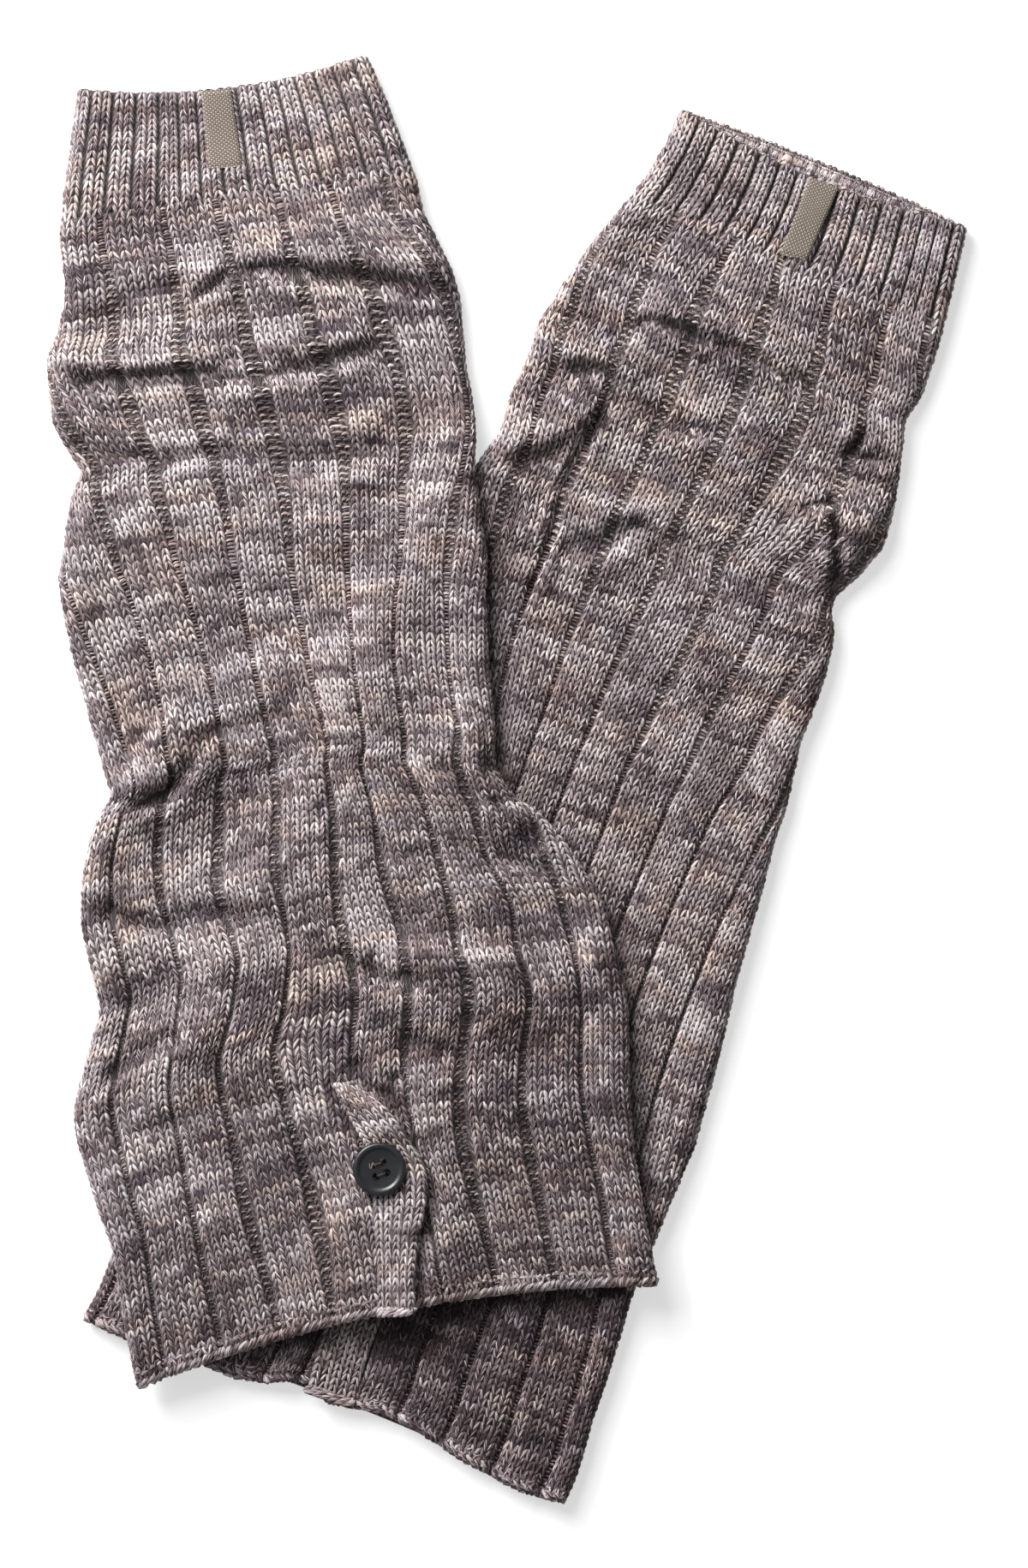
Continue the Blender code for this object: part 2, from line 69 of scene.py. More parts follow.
# ---- driving dimensions, as in the solids ------------------------------------
WALL = 2.2
LAY_GAP = 1.4
FLAT = 2 * WALL + LAY_GAP
SIDE_SWELL = 1.3
SIDE_REACH = 9.0
PRESSED_Y = 90.0
REST_GAP = 0.9
DRAPE = 26.0
CUFF_ROW = 3
CUFF_SHORT = 4.0
BAND_THICK = 2.0
TAPE_THICK = 0.7
BUTTON_RADIUS = 9.3
BUTTON_THICK = 3.0
BUTTON_RIM = 1.45
BUTTON_DISH = 0.6
BUTTON_HOLE_RADIUS = 1.30
BUTTON_HOLE_PITCH = 2.80
BUTTON_TURN = 65.5
SEAM = 0.3
MOUTH_DROP = 6.3
MOUTH_REACH = 22.0
UNDERLAP_REACH = 16.0

# the right leg's hem, from side to side: how far it lies above its even line
RIGHT_HEM = ((0, -0.5), (0.1, -3.0), (0.27, -3.6), (0.31, -4.4), (0.37, -2.4), (0.40, 0.2), (0.455, 3.3), (0.465, 3.3),
             (0.50, -1.5), (0.537, -0.3), (0.606, 2.4), (0.683, 1.5), (0.719, 0.0), (0.787, -2.1), (0.875, -3.2),
             (0.918, -3.4), (1.0, -0.5))

# ---- the knit ----------------------------------------------------------------
COURSE = 2.5            # height of a course in the leg
COURSE_CUFF = 2.45      # and in the cuff
WALES = 7               # wales to a wide rib: five knit, two purl
RIBS = 17               # wide ribs round a leg
CUFF_RIBS = 40          # and narrow ones round a cuff: two knit wales, one purl
CUFF_PURL = 0.055       # half width of a cuff's purl wale, in narrow ribs
CLOSED = 0.042          # half width of a purl channel drawn shut, in wide ribs
EDGE_ROUND = 1.1        # radius of the cloth's edge at mouth and hem
ROUND_RHO = 5.4         # radius with which the ribs turn over a side
LEG_LONG = 1.58         # length of a stitch leg, in courses
LEG_HALF = 0.29         # half width of a stitch leg, and its share
LEG_WIDER = 0.085       # of the wale's width
DYE_SPREAD = 0.95       # how far the marl's tone wanders,
DYE_BRICK, DYE_ROWS, DYE_PATCH = 0.26, 0.34, 0.40      # and by what: a rib's block, a course, a patch
DYE_LEG = 0.32          # difference between one stitch leg and the next
DYE_MEAN = 0.517
CREASE_DOWN = 1.10      # how a crease's depth is shared: down into the cloth
CREASE_UP = 0.55        # and up on both sides of it
STITCH_HIGH = 0.82      # crown of a stitch leg over the ground
STITCH_EDGE = 0.62      # how far its edges fall away
STEP_V = 1.25           # rows of the sampled surface
FRONT_COLUMNS = 235
BACK_COLUMNS = 90

# painted light and shade, by place along the leg: how much lighter or darker than the mean the yarn is painted, mostly
# lighter towards the cuff and darker towards the hem; on the right leg the deep drop is a painted shadow under the left
# leg's hem
LEFT_PAINTED_SHADING = ((0, 0.04), (60, 0.03), (150, 0.03), (240, 0.05), (320, 0.00), (450, -0.04))
RIGHT_PAINTED_SHADING = ((0, 0.05), (150, 0.06), (300, 0.06), (385, 0.01), (402, -0.26), (432, -0.26), (470, -0.12))

# left_x, left_y, right_x, right_y, bow, first rib and last rib across the front
LEFT_SECTIONS = (
    (-149.7, 241.2, -49.5, 253.2, -6.0, 0.09, 6.50),
    (-151.8, 225.0, -43.2, 239.4, -3.6, 0.09, 6.50),
    (-154.2, 208.2, -37.5, 224.4, -1.2, 0.09, 6.50),
    (-156.3, 190.8, -32.1, 210.0, 0.9, 0.09, 6.49),
    (-155.4, 180.9, -29.7, 198.0, 1.8, 0.07, 6.45),
    (-154.5, 173.4, -24.9, 188.4, 2.4, 0.05, 6.41),
    (-155.1, 164.1, -20.1, 178.8, 2.4, 0.03, 6.38),
    (-157.2, 155.4, -16.5, 167.4, 1.8, -0.04, 6.34),
    (-161.1, 146.7, -15.6, 153.9, 1.8, -0.16, 6.31),
    (-160.2, 138.0, -14.4, 143.4, 1.8, -0.26, 6.29),
    (-158.4, 124.2, -11.7, 128.4, 2.4, -0.42, 6.29),
    (-153.3, 115.2, -11.1, 118.8, 3.0, -0.54, 6.35),
    (-147.6, 107.1, -11.7, 111.0, 3.6, -0.65, 6.40),
    (-151.5, 100.2, -11.4, 103.8, 4.2, -0.74, 6.45),
    (-153.9, 87.9, -9.6, 93.0, 4.8, -0.92, 6.54),
    (-156.6, 68.7, -7.2, 77.4, 5.4, -1.22, 6.71),
    (-152.1, 45.6, -7.2, 58.8, 6.0, -1.50, 6.87),
    (-146.1, 23.7, -6.0, 36.9, 6.6, -1.66, 6.97),
    (-140.1, 1.8, -4.2, 19.8, 7.2, -1.72, 6.92),
    (-137.1, -7.8, -4.2, 12.0, 7.8, -1.72, 6.87),
    (-143.4, -15.0, -4.5, 3.9, 8.4, -1.73, 6.81),
    (-146.4, -26.1, 2.7, -6.6, 8.4, -1.73, 6.90),
    (-148.2, -36.3, 10.5, -12.0, 8.4, -1.72, 7.10),
    (-148.2, -52.2, 20.1, -23.1, 8.4, -1.70, 7.42),
    (-143.4, -73.8, 31.8, -40.5, 8.4, -1.71, 7.70),
    (-141.3, -80.4, 34.2, -46.8, 8.4, -1.72, 7.78),
    (-147.9, -104.4, 40.5, -70.5, 8.4, -1.76, 7.96),
    (-150.9, -115.8, 42.6, -81.6, 8.4, -1.78, 8.00),
    (-150.0, -126.6, 43.2, -91.8, 8.4, -1.80, 8.03),
    (-144.3, -144.6, 43.2, -109.8, 8.4, -1.77, 8.02),
    (-136.5, -166.5, 45.0, -132.0, 8.4, -1.71, 7.99),
    (-132.9, -191.7, 48.9, -156.3, 8.7, -1.70, 7.95),
    (-128.4, -213.3, 52.8, -177.0, 9.3, -1.68, 7.91),
)
RIGHT_SECTIONS = (
    (61.8, 234.0, 161.1, 192.9, 1.8, -0.09, 6.22),
    (56.4, 221.9, 157.9, 180.0, 0.6, -0.09, 6.22),
    (49.8, 210.6, 155.1, 167.3, 0.0, -0.09, 6.22),
    (41.6, 201.1, 152.0, 155.1, 0.0, -0.09, 6.22),
    (32.7, 189.9, 147.8, 141.5, 0.0, -0.14, 6.19),
    (27.5, 183.3, 145.2, 133.5, 0.0, -0.21, 6.14),
    (21.5, 174.6, 139.2, 124.8, 0.0, -0.31, 6.09),
    (18.0, 168.9, 139.2, 118.1, 0.0, -0.37, 6.05),
    (11.8, 159.5, 137.7, 107.0, 0.0, -0.46, 6.07),
    (8.7, 148.2, 135.8, 95.5, 0.0, -0.54, 6.18),
    (2.1, 134.3, 131.7, 80.7, 0.0, -0.64, 6.32),
    (-1.3, 122.0, 123.3, 71.1, 0.0, -0.71, 6.41),
    (-7.6, 112.5, 114.6, 63.6, 0.0, -0.76, 6.48),
    (-11.4, 107.7, 113.0, 57.8, 0.0, -0.78, 6.51),
    (-14.6, 100.8, 114.6, 50.4, 0.0, -0.81, 6.55),
    (-20.2, 88.9, 111.8, 37.5, 0.0, -0.91, 6.68),
    (-26.2, 76.7, 107.7, 24.6, 0.0, -1.05, 6.87),
    (-31.8, 65.4, 103.2, 12.9, 0.0, -1.18, 7.05),
    (-42.1, 42.8, 97.5, -11.1, 0.0, -1.47, 7.40),
    (-46.2, 33.6, 93.8, -20.5, 0.0, -1.59, 7.53),
    (-61.8, -3.6, 83.9, -59.5, 0.0, -1.85, 7.96),
    (-78.6, -40.8, 74.0, -99.0, 0.6, -2.03, 8.18),
    (-91.8, -69.6, 65.6, -129.5, 1.3, -2.15, 8.18),
    (-104.1, -92.4, 56.1, -153.4, 1.8, -2.23, 8.03),
    (-117.3, -120.6, 43.7, -182.0, 2.5, -2.29, 7.86),
    (-130.2, -145.5, 35.3, -208.6, 3.2, -2.33, 7.73),
    (-135.9, -162.6, 29.4, -225.6, 3.6, -2.33, 7.74),
    (-141.3, -177.6, 25.3, -241.0, 3.9, -2.33, 7.76),
    (-147.3, -189.3, 20.4, -253.2, 4.2, -2.33, 7.77),
)

# ---- folds, one row for each: a ridge from start over mid to end -------------
# cuff_side, hem_side: half widths of its two slopes
FOLD = ("start_x", "start_y", "mid_x", "mid_y", "end_x", "end_y",
        "height", "cuff_side", "hem_side")
LEFT_FOLDS = (
    (-92.0, 183.0, -48.0, 181.0, -14.0, 172.0, 4.0, 15.0, 3.4),
    (-154.0, 166.0, -120.0, 172.0, -88.0, 181.0, 1.4, 10.0, 7.0),
    (-162.0, 147.0, -134.0, 144.0, -104.0, 147.0, 3.6, 12.0, 3.4),
    (-90.0, 149.0, -66.0, 152.0, -44.0, 157.0, 2.4, 9.0, 3.4),
    (-158.0, 126.0, -140.0, 120.0, -126.0, 118.0, 2.4, 7.0, 4.0),
    (-112.0, 133.0, -70.0, 138.0, -28.0, 132.0, 1.2, 6.0, 14.0),
    (-155.0, 70.0, -104.0, 84.0, -44.0, 78.0, 1.6, 24.0, 26.0),
    (-141.0, -14.0, -126.0, 8.0, -112.0, 27.0, 4.4, 3.2, 22.0),
    (-112.0, 27.0, -68.0, 38.0, -24.0, 25.0, 2.6, 9.0, 24.0),
    (-24.0, 25.0, -2.0, 6.0, 16.0, -18.0, 4.6, 4.0, 18.0),
    (-140.0, -44.0, -110.0, -40.0, -84.0, -42.0, 1.4, 12.0, 10.0),
    (-44.0, -58.0, -18.0, -63.0, 10.0, -66.0, 4.0, 4.4, 20.0),
    (10.0, -66.0, 24.0, -66.0, 34.0, -60.0, 2.4, 7.0, 14.0),
    (-151.0, -116.0, -128.0, -102.0, -100.0, -86.0, 2.8, 9.0, 16.0),
    (-148.0, -66.0, -120.0, -62.0, -92.0, -66.0, 1.6, 8.0, 10.0),
    (-130.0, -150.0, -104.0, -154.0, -76.0, -150.0, 1.0, 14.0, 14.0),
    (2.0, -118.0, 20.0, -116.0, 38.0, -112.0, 1.2, 14.0, 14.0),
)
RIGHT_FOLDS = (
    (44.0, 164.0, 72.0, 152.0, 104.0, 134.0, 4.0, 13.0, 3.6),
    (104.0, 134.0, 116.0, 126.0, 126.0, 112.0, 2.0, 9.0, 6.0),
    (12.0, 150.0, 34.0, 146.0, 50.0, 136.0, 3.0, 8.0, 3.6),
    (-4.0, 116.0, 16.0, 120.0, 34.0, 134.0, 4.0, 9.0, 3.4),
    (62.0, 128.0, 80.0, 122.0, 98.0, 112.0, 1.8, 5.0, 12.0),
    (108.0, 90.0, 120.0, 92.0, 130.0, 84.0, 4.2, 6.0, 12.0),
    (112.0, 72.0, 118.0, 78.0, 126.0, 76.0, 2.6, 8.0, 4.0),
    (28.0, 92.0, 46.0, 92.0, 62.0, 84.0, 2.0, 10.0, 4.4),
    (56.0, 62.0, 80.0, 48.0, 104.0, 34.0, 1.0, 16.0, 18.0),
)

# creases over those folds: a trough along a line of three points, its depth and half width
CREASE = ("start_x", "start_y", "mid_x", "mid_y", "end_x", "end_y", "depth", "half")
LEFT_CREASES = (
    (-98.0, 179.1, -75.3, 175.5, -51.3, 173.7, 3.2, 2.3),
    (-54.6, 174.6, -42.3, 171.9, -22.8, 169.2, 3.2, 2.4),
    (-110.4, 168.3, -102.9, 171.9, -95.4, 179.4, 1.9, 2.3),
    (-136.8, 168.9, -123.3, 171.0, -110.4, 171.6, 1.6, 3.0),
    (-152.4, 135.3, -126.3, 139.5, -98.1, 140.4, 3.3, 2.4),
    (-103.5, 140.1, -87.3, 139.2, -72.6, 143.7, 2.3, 2.2),
    (-77.4, 142.2, -61.8, 145.2, -43.5, 151.2, 2.8, 2.3),
    (-127.8, 108.3, -102.3, 113.4, -76.8, 109.8, 1.4, 2.8),
    (-88.8, 108.0, -62.4, 110.4, -34.8, 119.1, 1.8, 3.8),
    (-27.9, 164.4, -15.6, 148.2, -19.5, 126.0, 1.9, 1.7),
    (-159.3, 142.2, -157.2, 133.8, -151.5, 125.4, 1.5, 1.6),
    (-137.1, -11.1, -118.8, -4.8, -108.9, 9.6, 2.8, 2.8),
    (-110.7, 6.9, -98.7, 17.1, -76.8, 21.9, 1.1, 3.0),
    (-51.0, 19.2, -37.5, 12.0, -29.4, 1.2, 1.1, 3.0),
    (-29.4, 2.7, -18.3, 0.3, -12.3, -10.5, 1.6, 2.8),
    (-6.6, -4.5, 2.4, -15.3, 12.6, -27.9, 2.3, 2.3),
    (-4.8, -25.5, 5.4, -30.9, 16.2, -33.9, 2.0, 2.8),
    (-62.4, -13.8, -60.9, -23.1, -59.1, -31.2, 1.4, 1.5),
    (-50.4, -17.4, -40.8, -25.2, -30.6, -28.8, 1.4, 2.8),
    (-146.1, -40.2, -137.1, -49.2, -111.9, -55.5, 2.0, 2.8),
    (-114.3, -46.8, -87.3, -51.0, -64.8, -57.3, 1.8, 4.4),
    (-78.0, -52.5, -63.3, -63.0, -46.8, -71.7, 3.2, 3.6),
    (-51.3, -62.7, -40.8, -71.1, -27.3, -72.6, 2.6, 3.2),
    (-49.8, -85.2, -33.9, -94.5, -14.1, -98.4, 2.4, 5.2),
    (-39.0, -101.4, -37.8, -109.2, -36.3, -116.4, 2.2, 2.6),
    (-52.5, -98.1, -50.7, -101.4, -48.9, -104.7, 2.0, 1.7),
    (-151.2, -117.0, -132.3, -100.2, -106.2, -87.3, 1.6, 2.7),
    (-147.3, -71.4, -140.7, -79.2, -131.1, -81.3, 1.5, 2.4),
    (-131.1, -126.6, -121.8, -122.1, -110.1, -121.2, 0.9, 3.0),
    (-96.0, -118.5, -84.9, -113.4, -70.8, -112.5, 1.0, 3.0),
)
RIGHT_CREASES = (
    (43.8, 160.8, 59.7, 156.3, 74.4, 151.5, 3.1, 2.3),
    (69.9, 152.7, 86.7, 146.4, 104.4, 130.5, 3.1, 2.5),
    (19.5, 141.3, 32.7, 143.1, 41.7, 132.3, 2.6, 2.2),
    (38.7, 136.5, 52.2, 125.4, 77.4, 119.7, 2.4, 2.8),
    (36.9, 132.3, 27.3, 116.4, 18.9, 98.7, 2.2, 1.8),
    (19.5, 101.1, 14.7, 83.4, 5.7, 58.2, 1.4, 1.6),
    (126.9, 123.6, 122.7, 116.4, 117.3, 112.2, 2.3, 2.1),
    (121.5, 112.2, 130.2, 111.3, 139.5, 109.2, 1.8, 1.8),
    (101.4, 95.1, 110.1, 94.8, 115.8, 98.1, 2.6, 1.9),
    (113.7, 95.1, 116.4, 78.0, 113.4, 61.2, 2.8, 2.1),
    (16.8, 80.1, 32.7, 81.9, 43.5, 88.2, 2.0, 3.2),
    (41.1, 88.8, 49.5, 87.3, 56.1, 79.2, 2.2, 2.3),
    (-10.2, 81.0, -0.3, 78.9, 15.3, 77.1, 1.1, 3.6),
    (-6.0, 105.0, 1.2, 97.5, 4.8, 88.8, 1.0, 2.4),
    (96.0, 142.5, 106.5, 137.1, 113.4, 129.0, 1.2, 2.2),
    (84.0, 70.2, 97.5, 66.0, 108.0, 57.6, 0.9, 3.0),
)

# ---- purl channels: place along the leg, shift from its even place and half width,
# both in wide ribs; the channels of the back run straight
LEFT_CHANNELS = {
    0: ((95, -0.12, 0.05), (110, -0.19, 0.07), (120, -0.1, 0.1), (130, -0.18, 0.12), (142, -0.28, 0.11),
        (152, -0.23, 0.11), (162, -0.1, 0.1), (172, -0.01, 0.08), (185, 0.04, 0.04), (210, 0.03, 0.03),
        (230, -0.12, 0.04), (245, -0.24, 0.08), (260, -0.15, 0.1), (275, -0.15, 0.1), (290, -0.09, 0.09),
        (302, -0.04, 0.05), (320, -0.08, 0.03), (350, 0.03, 0.03), (380, 0.02, 0.04), (395, -0.06, 0.05),
        (410, -0.07, 0.06), (425, 0, 0.08), (440, 0.03, 0.06)),
    1: ((50, -0.08, 0.04), (60, -0.1, 0.05), (70, -0.05, 0.09), (80, -0.04, 0.1), (90, -0.02, 0.07),
        (100, -0.08, 0.12), (110, -0.07, 0.11), (120, -0.04, 0.12), (130, -0.18, 0.12), (142, -0.26, 0.11),
        (150, -0.17, 0.12), (160, -0.07, 0.1), (170, 0.02, 0.06), (185, 0.06, 0.04), (200, 0.1, 0.04),
        (225, 0.06, 0.04), (245, -0.05, 0.05), (258, 0.06, 0.08), (270, 0.09, 0.1), (280, 0.04, 0.11),
        (290, -0.05, 0.11), (300, -0.03, 0.09), (312, 0.01, 0.05), (335, 0.02, 0.03), (352, -0.12, 0.06),
        (365, -0.1, 0.07), (380, -0.06, 0.08), (392, -0.09, 0.11), (402, -0.14, 0.13), (412, -0.1, 0.12),
        (422, -0.03, 0.1), (432, 0.05, 0.09), (442, 0.08, 0.07)),
    2: ((50, 0.02, 0.04), (60, 0.04, 0.06), (70, -0.04, 0.07), (80, -0.05, 0.09), (90, -0.04, 0.09),
        (100, -0.05, 0.14), (110, -0.03, 0.13), (120, 0, 0.13), (130, -0.13, 0.14), (141, -0.23, 0.11),
        (150, -0.1, 0.1), (160, 0, 0.07), (175, 0.05, 0.07), (190, 0.05, 0.05), (210, 0.02, 0.04),
        (230, -0.01, 0.07), (243, -0.03, 0.07), (252, 0.08, 0.08), (262, 0.24, 0.09), (270, 0.2, 0.08),
        (280, 0.09, 0.1), (290, 0.05, 0.11), (300, 0.03, 0.07), (315, -0.04, 0.04), (340, -0.04, 0.04),
        (352, -0.18, 0.05), (362, -0.12, 0.08), (375, -0.06, 0.07), (388, 0.02, 0.09), (400, 0.05, 0.11),
        (412, 0.08, 0.14), (422, 0.11, 0.14), (432, 0.13, 0.12), (442, 0.07, 0.07)),
    3: ((40, -0.1, 0.05), (50, -0.06, 0.06), (60, -0.04, 0.07), (70, -0.12, 0.09), (80, -0.11, 0.09),
        (90, -0.06, 0.1), (100, -0.01, 0.12), (110, 0.02, 0.14), (120, 0, 0.14), (130, -0.05, 0.13),
        (140, -0.12, 0.16), (150, 0.01, 0.11), (162, 0.06, 0.1), (175, 0.07, 0.07), (190, 0.07, 0.05),
        (210, 0.12, 0.05), (228, 0.1, 0.04), (245, 0.15, 0.04), (258, 0.3, 0.06), (268, 0.28, 0.08),
        (280, 0.23, 0.1), (290, 0.15, 0.09), (300, 0.03, 0.08), (310, -0.04, 0.11), (320, -0.06, 0.11),
        (332, 0.16, 0.06), (342, 0.26, 0.06), (355, 0.2, 0.03), (372, 0.1, 0.03), (395, 0.1, 0.06),
        (415, 0.2, 0.08), (440, 0.2, 0.05)),
    4: ((40, -0.05, 0.05), (50, 0.01, 0.06), (60, -0.02, 0.08), (70, -0.12, 0.11), (80, -0.1, 0.11),
        (90, -0.08, 0.11), (100, 0.02, 0.15), (110, 0.07, 0.15), (120, 0.06, 0.16), (130, 0.04, 0.15),
        (140, 0.04, 0.12), (150, 0.09, 0.08), (162, 0.1, 0.07), (180, 0.08, 0.05), (195, 0.08, 0.04),
        (222, 0.02, 0.03), (240, -0.05, 0.06), (255, -0.03, 0.06), (275, -0.04, 0.03), (290, -0.08, 0.08),
        (302, -0.09, 0.1), (312, -0.08, 0.08), (322, 0.01, 0.09), (332, 0.09, 0.14), (342, 0.14, 0.09),
        (352, 0.14, 0.11), (362, 0.08, 0.1), (372, 0.02, 0.04), (395, 0.05, 0.03), (440, 0.05, 0.03)),
    5: ((35, -0.12, 0.05), (60, -0.08, 0.06), (70, -0.12, 0.09), (80, -0.09, 0.14), (90, -0.05, 0.12),
        (100, 0.09, 0.15), (110, 0.13, 0.1), (120, 0.12, 0.1), (130, 0.12, 0.13), (140, 0.09, 0.09),
        (152, 0.07, 0.07), (165, 0.07, 0.05), (185, 0.02, 0.03), (210, -0.12, 0.03), (230, -0.17, 0.05),
        (248, -0.22, 0.06), (262, -0.08, 0.06), (280, -0.06, 0.04), (292, -0.04, 0.08), (305, -0.05, 0.07),
        (320, -0.08, 0.08), (330, 0, 0.08), (340, 0.2, 0.12), (350, 0.2, 0.12), (360, 0.1, 0.09),
        (370, -0.01, 0.1), (380, -0.08, 0.13), (390, -0.13, 0.15), (400, -0.15, 0.16), (410, -0.12, 0.14),
        (420, -0.07, 0.1), (430, -0.02, 0.08), (440, 0, 0.07)),
    6: ((35, -0.16, 0.06), (50, -0.2, 0.09), (60, -0.15, 0.1), (70, -0.04, 0.09), (80, 0.01, 0.1),
        (90, 0.08, 0.1), (100, 0.12, 0.11), (110, 0.16, 0.07), (130, 0.14, 0.07), (145, 0.1, 0.04),
        (158, -0.03, 0.09), (168, -0.07, 0.1), (180, -0.12, 0.08), (200, -0.05, 0.03), (230, -0.05, 0.03),
        (248, -0.05, 0.08), (260, -0.09, 0.1), (270, -0.15, 0.1), (280, -0.22, 0.08), (295, -0.22, 0.05),
        (315, 0, 0.04), (330, 0.04, 0.06), (342, 0.22, 0.07), (352, 0.23, 0.07), (362, 0.12, 0.06),
        (375, 0.04, 0.08), (390, 0, 0.09), (400, 0.01, 0.11), (410, 0.02, 0.11), (420, 0.05, 0.09),
        (432, 0.04, 0.08), (442, 0.02, 0.07)),
    7: ((260, -0.05, 0.04), (275, -0.12, 0.07), (290, -0.18, 0.08), (305, -0.16, 0.07), (320, -0.1, 0.08),
        (332, 0.03, 0.05), (350, 0.08, 0.03), (380, 0.03, 0.04), (402, 0.08, 0.05), (412, 0.12, 0.06),
        (425, 0.13, 0.07), (440, 0.06, 0.05)),
}
RIGHT_CHANNELS = {
    0: ((45, 0, 0.05), (55, 0.03, 0.08), (65, 0.04, 0.08), (80, 0.1, 0.07), (90, 0.06, 0.09),
        (102, 0.03, 0.05), (125, -0.04, 0.04), (138, 0.06, 0.09), (150, 0.08, 0.11), (160, 0.1, 0.08),
        (170, 0.1, 0.09), (182, 0.05, 0.04), (210, 0.05, 0.03)),
    1: ((50, -0.06, 0.05), (60, 0.01, 0.09), (70, 0, 0.09), (80, 0.08, 0.09), (90, 0.01, 0.11),
        (100, -0.05, 0.06), (115, -0.06, 0.04), (130, -0.04, 0.07), (142, 0.05, 0.09), (152, 0.13, 0.06),
        (170, 0.02, 0.04), (195, 0.03, 0.03), (215, 0.1, 0.03), (228, 0.22, 0.03), (242, 0.42, 0.03)),
    2: ((45, 0.06, 0.05), (55, 0.02, 0.12), (65, 0, 0.14), (78, 0.08, 0.1), (90, 0.03, 0.13),
        (100, -0.01, 0.1), (110, -0.07, 0.08), (120, -0.08, 0.07), (130, -0.05, 0.09), (140, 0.06, 0.09),
        (150, 0.08, 0.1), (160, 0, 0.09), (170, 0.01, 0.08), (182, 0.02, 0.06), (200, 0.05, 0.04),
        (220, 0.05, 0.03)),
    3: ((38, -0.04, 0.06), (48, 0.1, 0.09), (60, 0.11, 0.13), (70, 0.13, 0.13), (80, 0.15, 0.11),
        (90, 0.08, 0.11), (100, -0.01, 0.1), (110, -0.04, 0.1), (120, -0.06, 0.08), (130, 0, 0.08),
        (142, 0.16, 0.09), (150, 0.12, 0.08), (162, 0.05, 0.08), (175, 0.03, 0.07), (190, 0.04, 0.06),
        (205, 0.02, 0.05), (225, 0, 0.03)),
    4: ((42, 0.04, 0.05), (52, 0.1, 0.07), (62, 0.21, 0.11), (72, 0.24, 0.12), (80, 0.24, 0.11),
        (90, 0.17, 0.14), (100, 0.05, 0.14), (110, 0.01, 0.08), (120, -0.03, 0.06), (130, 0.06, 0.08),
        (140, 0.15, 0.1), (150, 0.15, 0.09), (160, 0.12, 0.08), (172, 0.11, 0.09), (185, 0.1, 0.08),
        (195, 0.09, 0.09), (205, 0.06, 0.06), (222, 0.01, 0.05), (240, 0.05, 0.03)),
    5: ((40, 0.08, 0.05), (55, 0.15, 0.06), (68, 0.22, 0.08), (78, 0.21, 0.09), (88, 0.17, 0.09),
        (98, 0.1, 0.1), (108, 0.14, 0.13), (120, 0.22, 0.05), (135, 0.2, 0.06), (145, 0.25, 0.07),
        (155, 0.1, 0.04), (170, 0.09, 0.06), (182, 0.11, 0.08), (192, 0.13, 0.08), (202, 0.12, 0.08),
        (220, 0.12, 0.04), (245, 0.12, 0.03), (300, 0.08, 0.04), (410, 0.01, 0.04), (465, 0.01, 0.04)),
    6: ((30, -0.22, 0.07), (40, -0.18, 0.07), (50, -0.16, 0.07), (60, 0, 0.07), (80, 0.05, 0.05),
        (100, 0.05, 0.07), (115, 0.02, 0.06), (125, 0.17, 0.11), (135, 0.25, 0.08), (145, 0.28, 0.07),
        (155, 0.2, 0.09), (165, 0.1, 0.1), (175, 0.06, 0.09), (188, 0.09, 0.06), (205, 0.12, 0.05),
        (225, 0.02, 0.03), (300, -0.05, 0.04), (360, 0, 0.03), (420, 0.09, 0.04), (465, 0.09, 0.035)),
    7: ((190, 0.02, 0.06), (200, 0.04, 0.08), (212, 0.1, 0.09), (222, 0.18, 0.08), (240, 0.12, 0.04),
        (260, 0.05, 0.03), (330, -0.08, 0.035), (410, 0.08, 0.035), (440, 0.11, 0.05), (465, 0.1, 0.05)),
}

# ---- button bands, one row for each section, from hem upwards ----------------
LEFT_BAND = (
    (-45.0, -188.6, -31.8, -187.8), (-45.0, -171.6, -31.8, -171.6),
    (-45.9, -158.7, -30.3, -158.7), (-46.5, -148.8, -27.6, -148.8),
    (-47.4, -139.2, -27.3, -139.2), (-48.3, -131.1, -29.1, -132.6),
    (-50.1, -126.9, -33.0, -127.5), (-53.1, -122.4, -36.9, -121.5),
    (-56.4, -117.0, -41.7, -114.9), (-58.5, -111.6, -47.7, -111.0),
    (-60.6, -106.2, -54.3, -105.3),
)
RIGHT_BAND = (
    (-70.2, -215.7, -53.7, -221.4), (-64.8, -195.6, -48.3, -202.2),
    (-57.9, -177.6, -41.7, -184.2), (-51.3, -159.6, -35.1, -166.2),
    (-45.3, -144.6, -30.3, -152.4), (-41.7, -137.1, -26.7, -143.1),
    (-34.8, -128.1, -20.7, -133.5), (-27.3, -119.1, -16.5, -124.2),
    (-19.8, -112.5, -15.0, -115.5),
)
LEFT_BUTTON = (-44.2, -136.5)
RIGHT_BUTTON = (-38.4, -168.6)
LEFT_LABEL = ((-106.8, 240.4), (-96.3, 241.4), (-92.4, 214.2), (-104.1, 213.3))
RIGHT_LABEL = ((106.5, 210.3), (116.7, 207.0), (105.3, 181.2), (95.7, 183.3))

# the recess beside the roll by the button, along which shade is painted on the yarn
LEFT_NOOK = ((-53.0, -102.4), (-46.4, -108.2), (-39.6, -113.2), (-36.4, -117.0))
# free edge of the overlap, from its upper corner down to the hem
LEFT_EDGE = ((-59.7, -102.0), (-54.3, -105.3), (-47.7, -111.0), (-41.4, -114.9),
             (-36.9, -121.5), (-33.0, -127.5), (-29.1, -132.6), (-27.6, -139.2),
             (-27.6, -148.8), (-30.3, -158.7), (-31.8, -171.6), (-31.8, -189.9))


def smooth(a, b, x):
    t = np.clip((np.asarray(x, float) - a) / (b - a), 0.0, 1.0)
    return t * t * (3 - 2 * t)


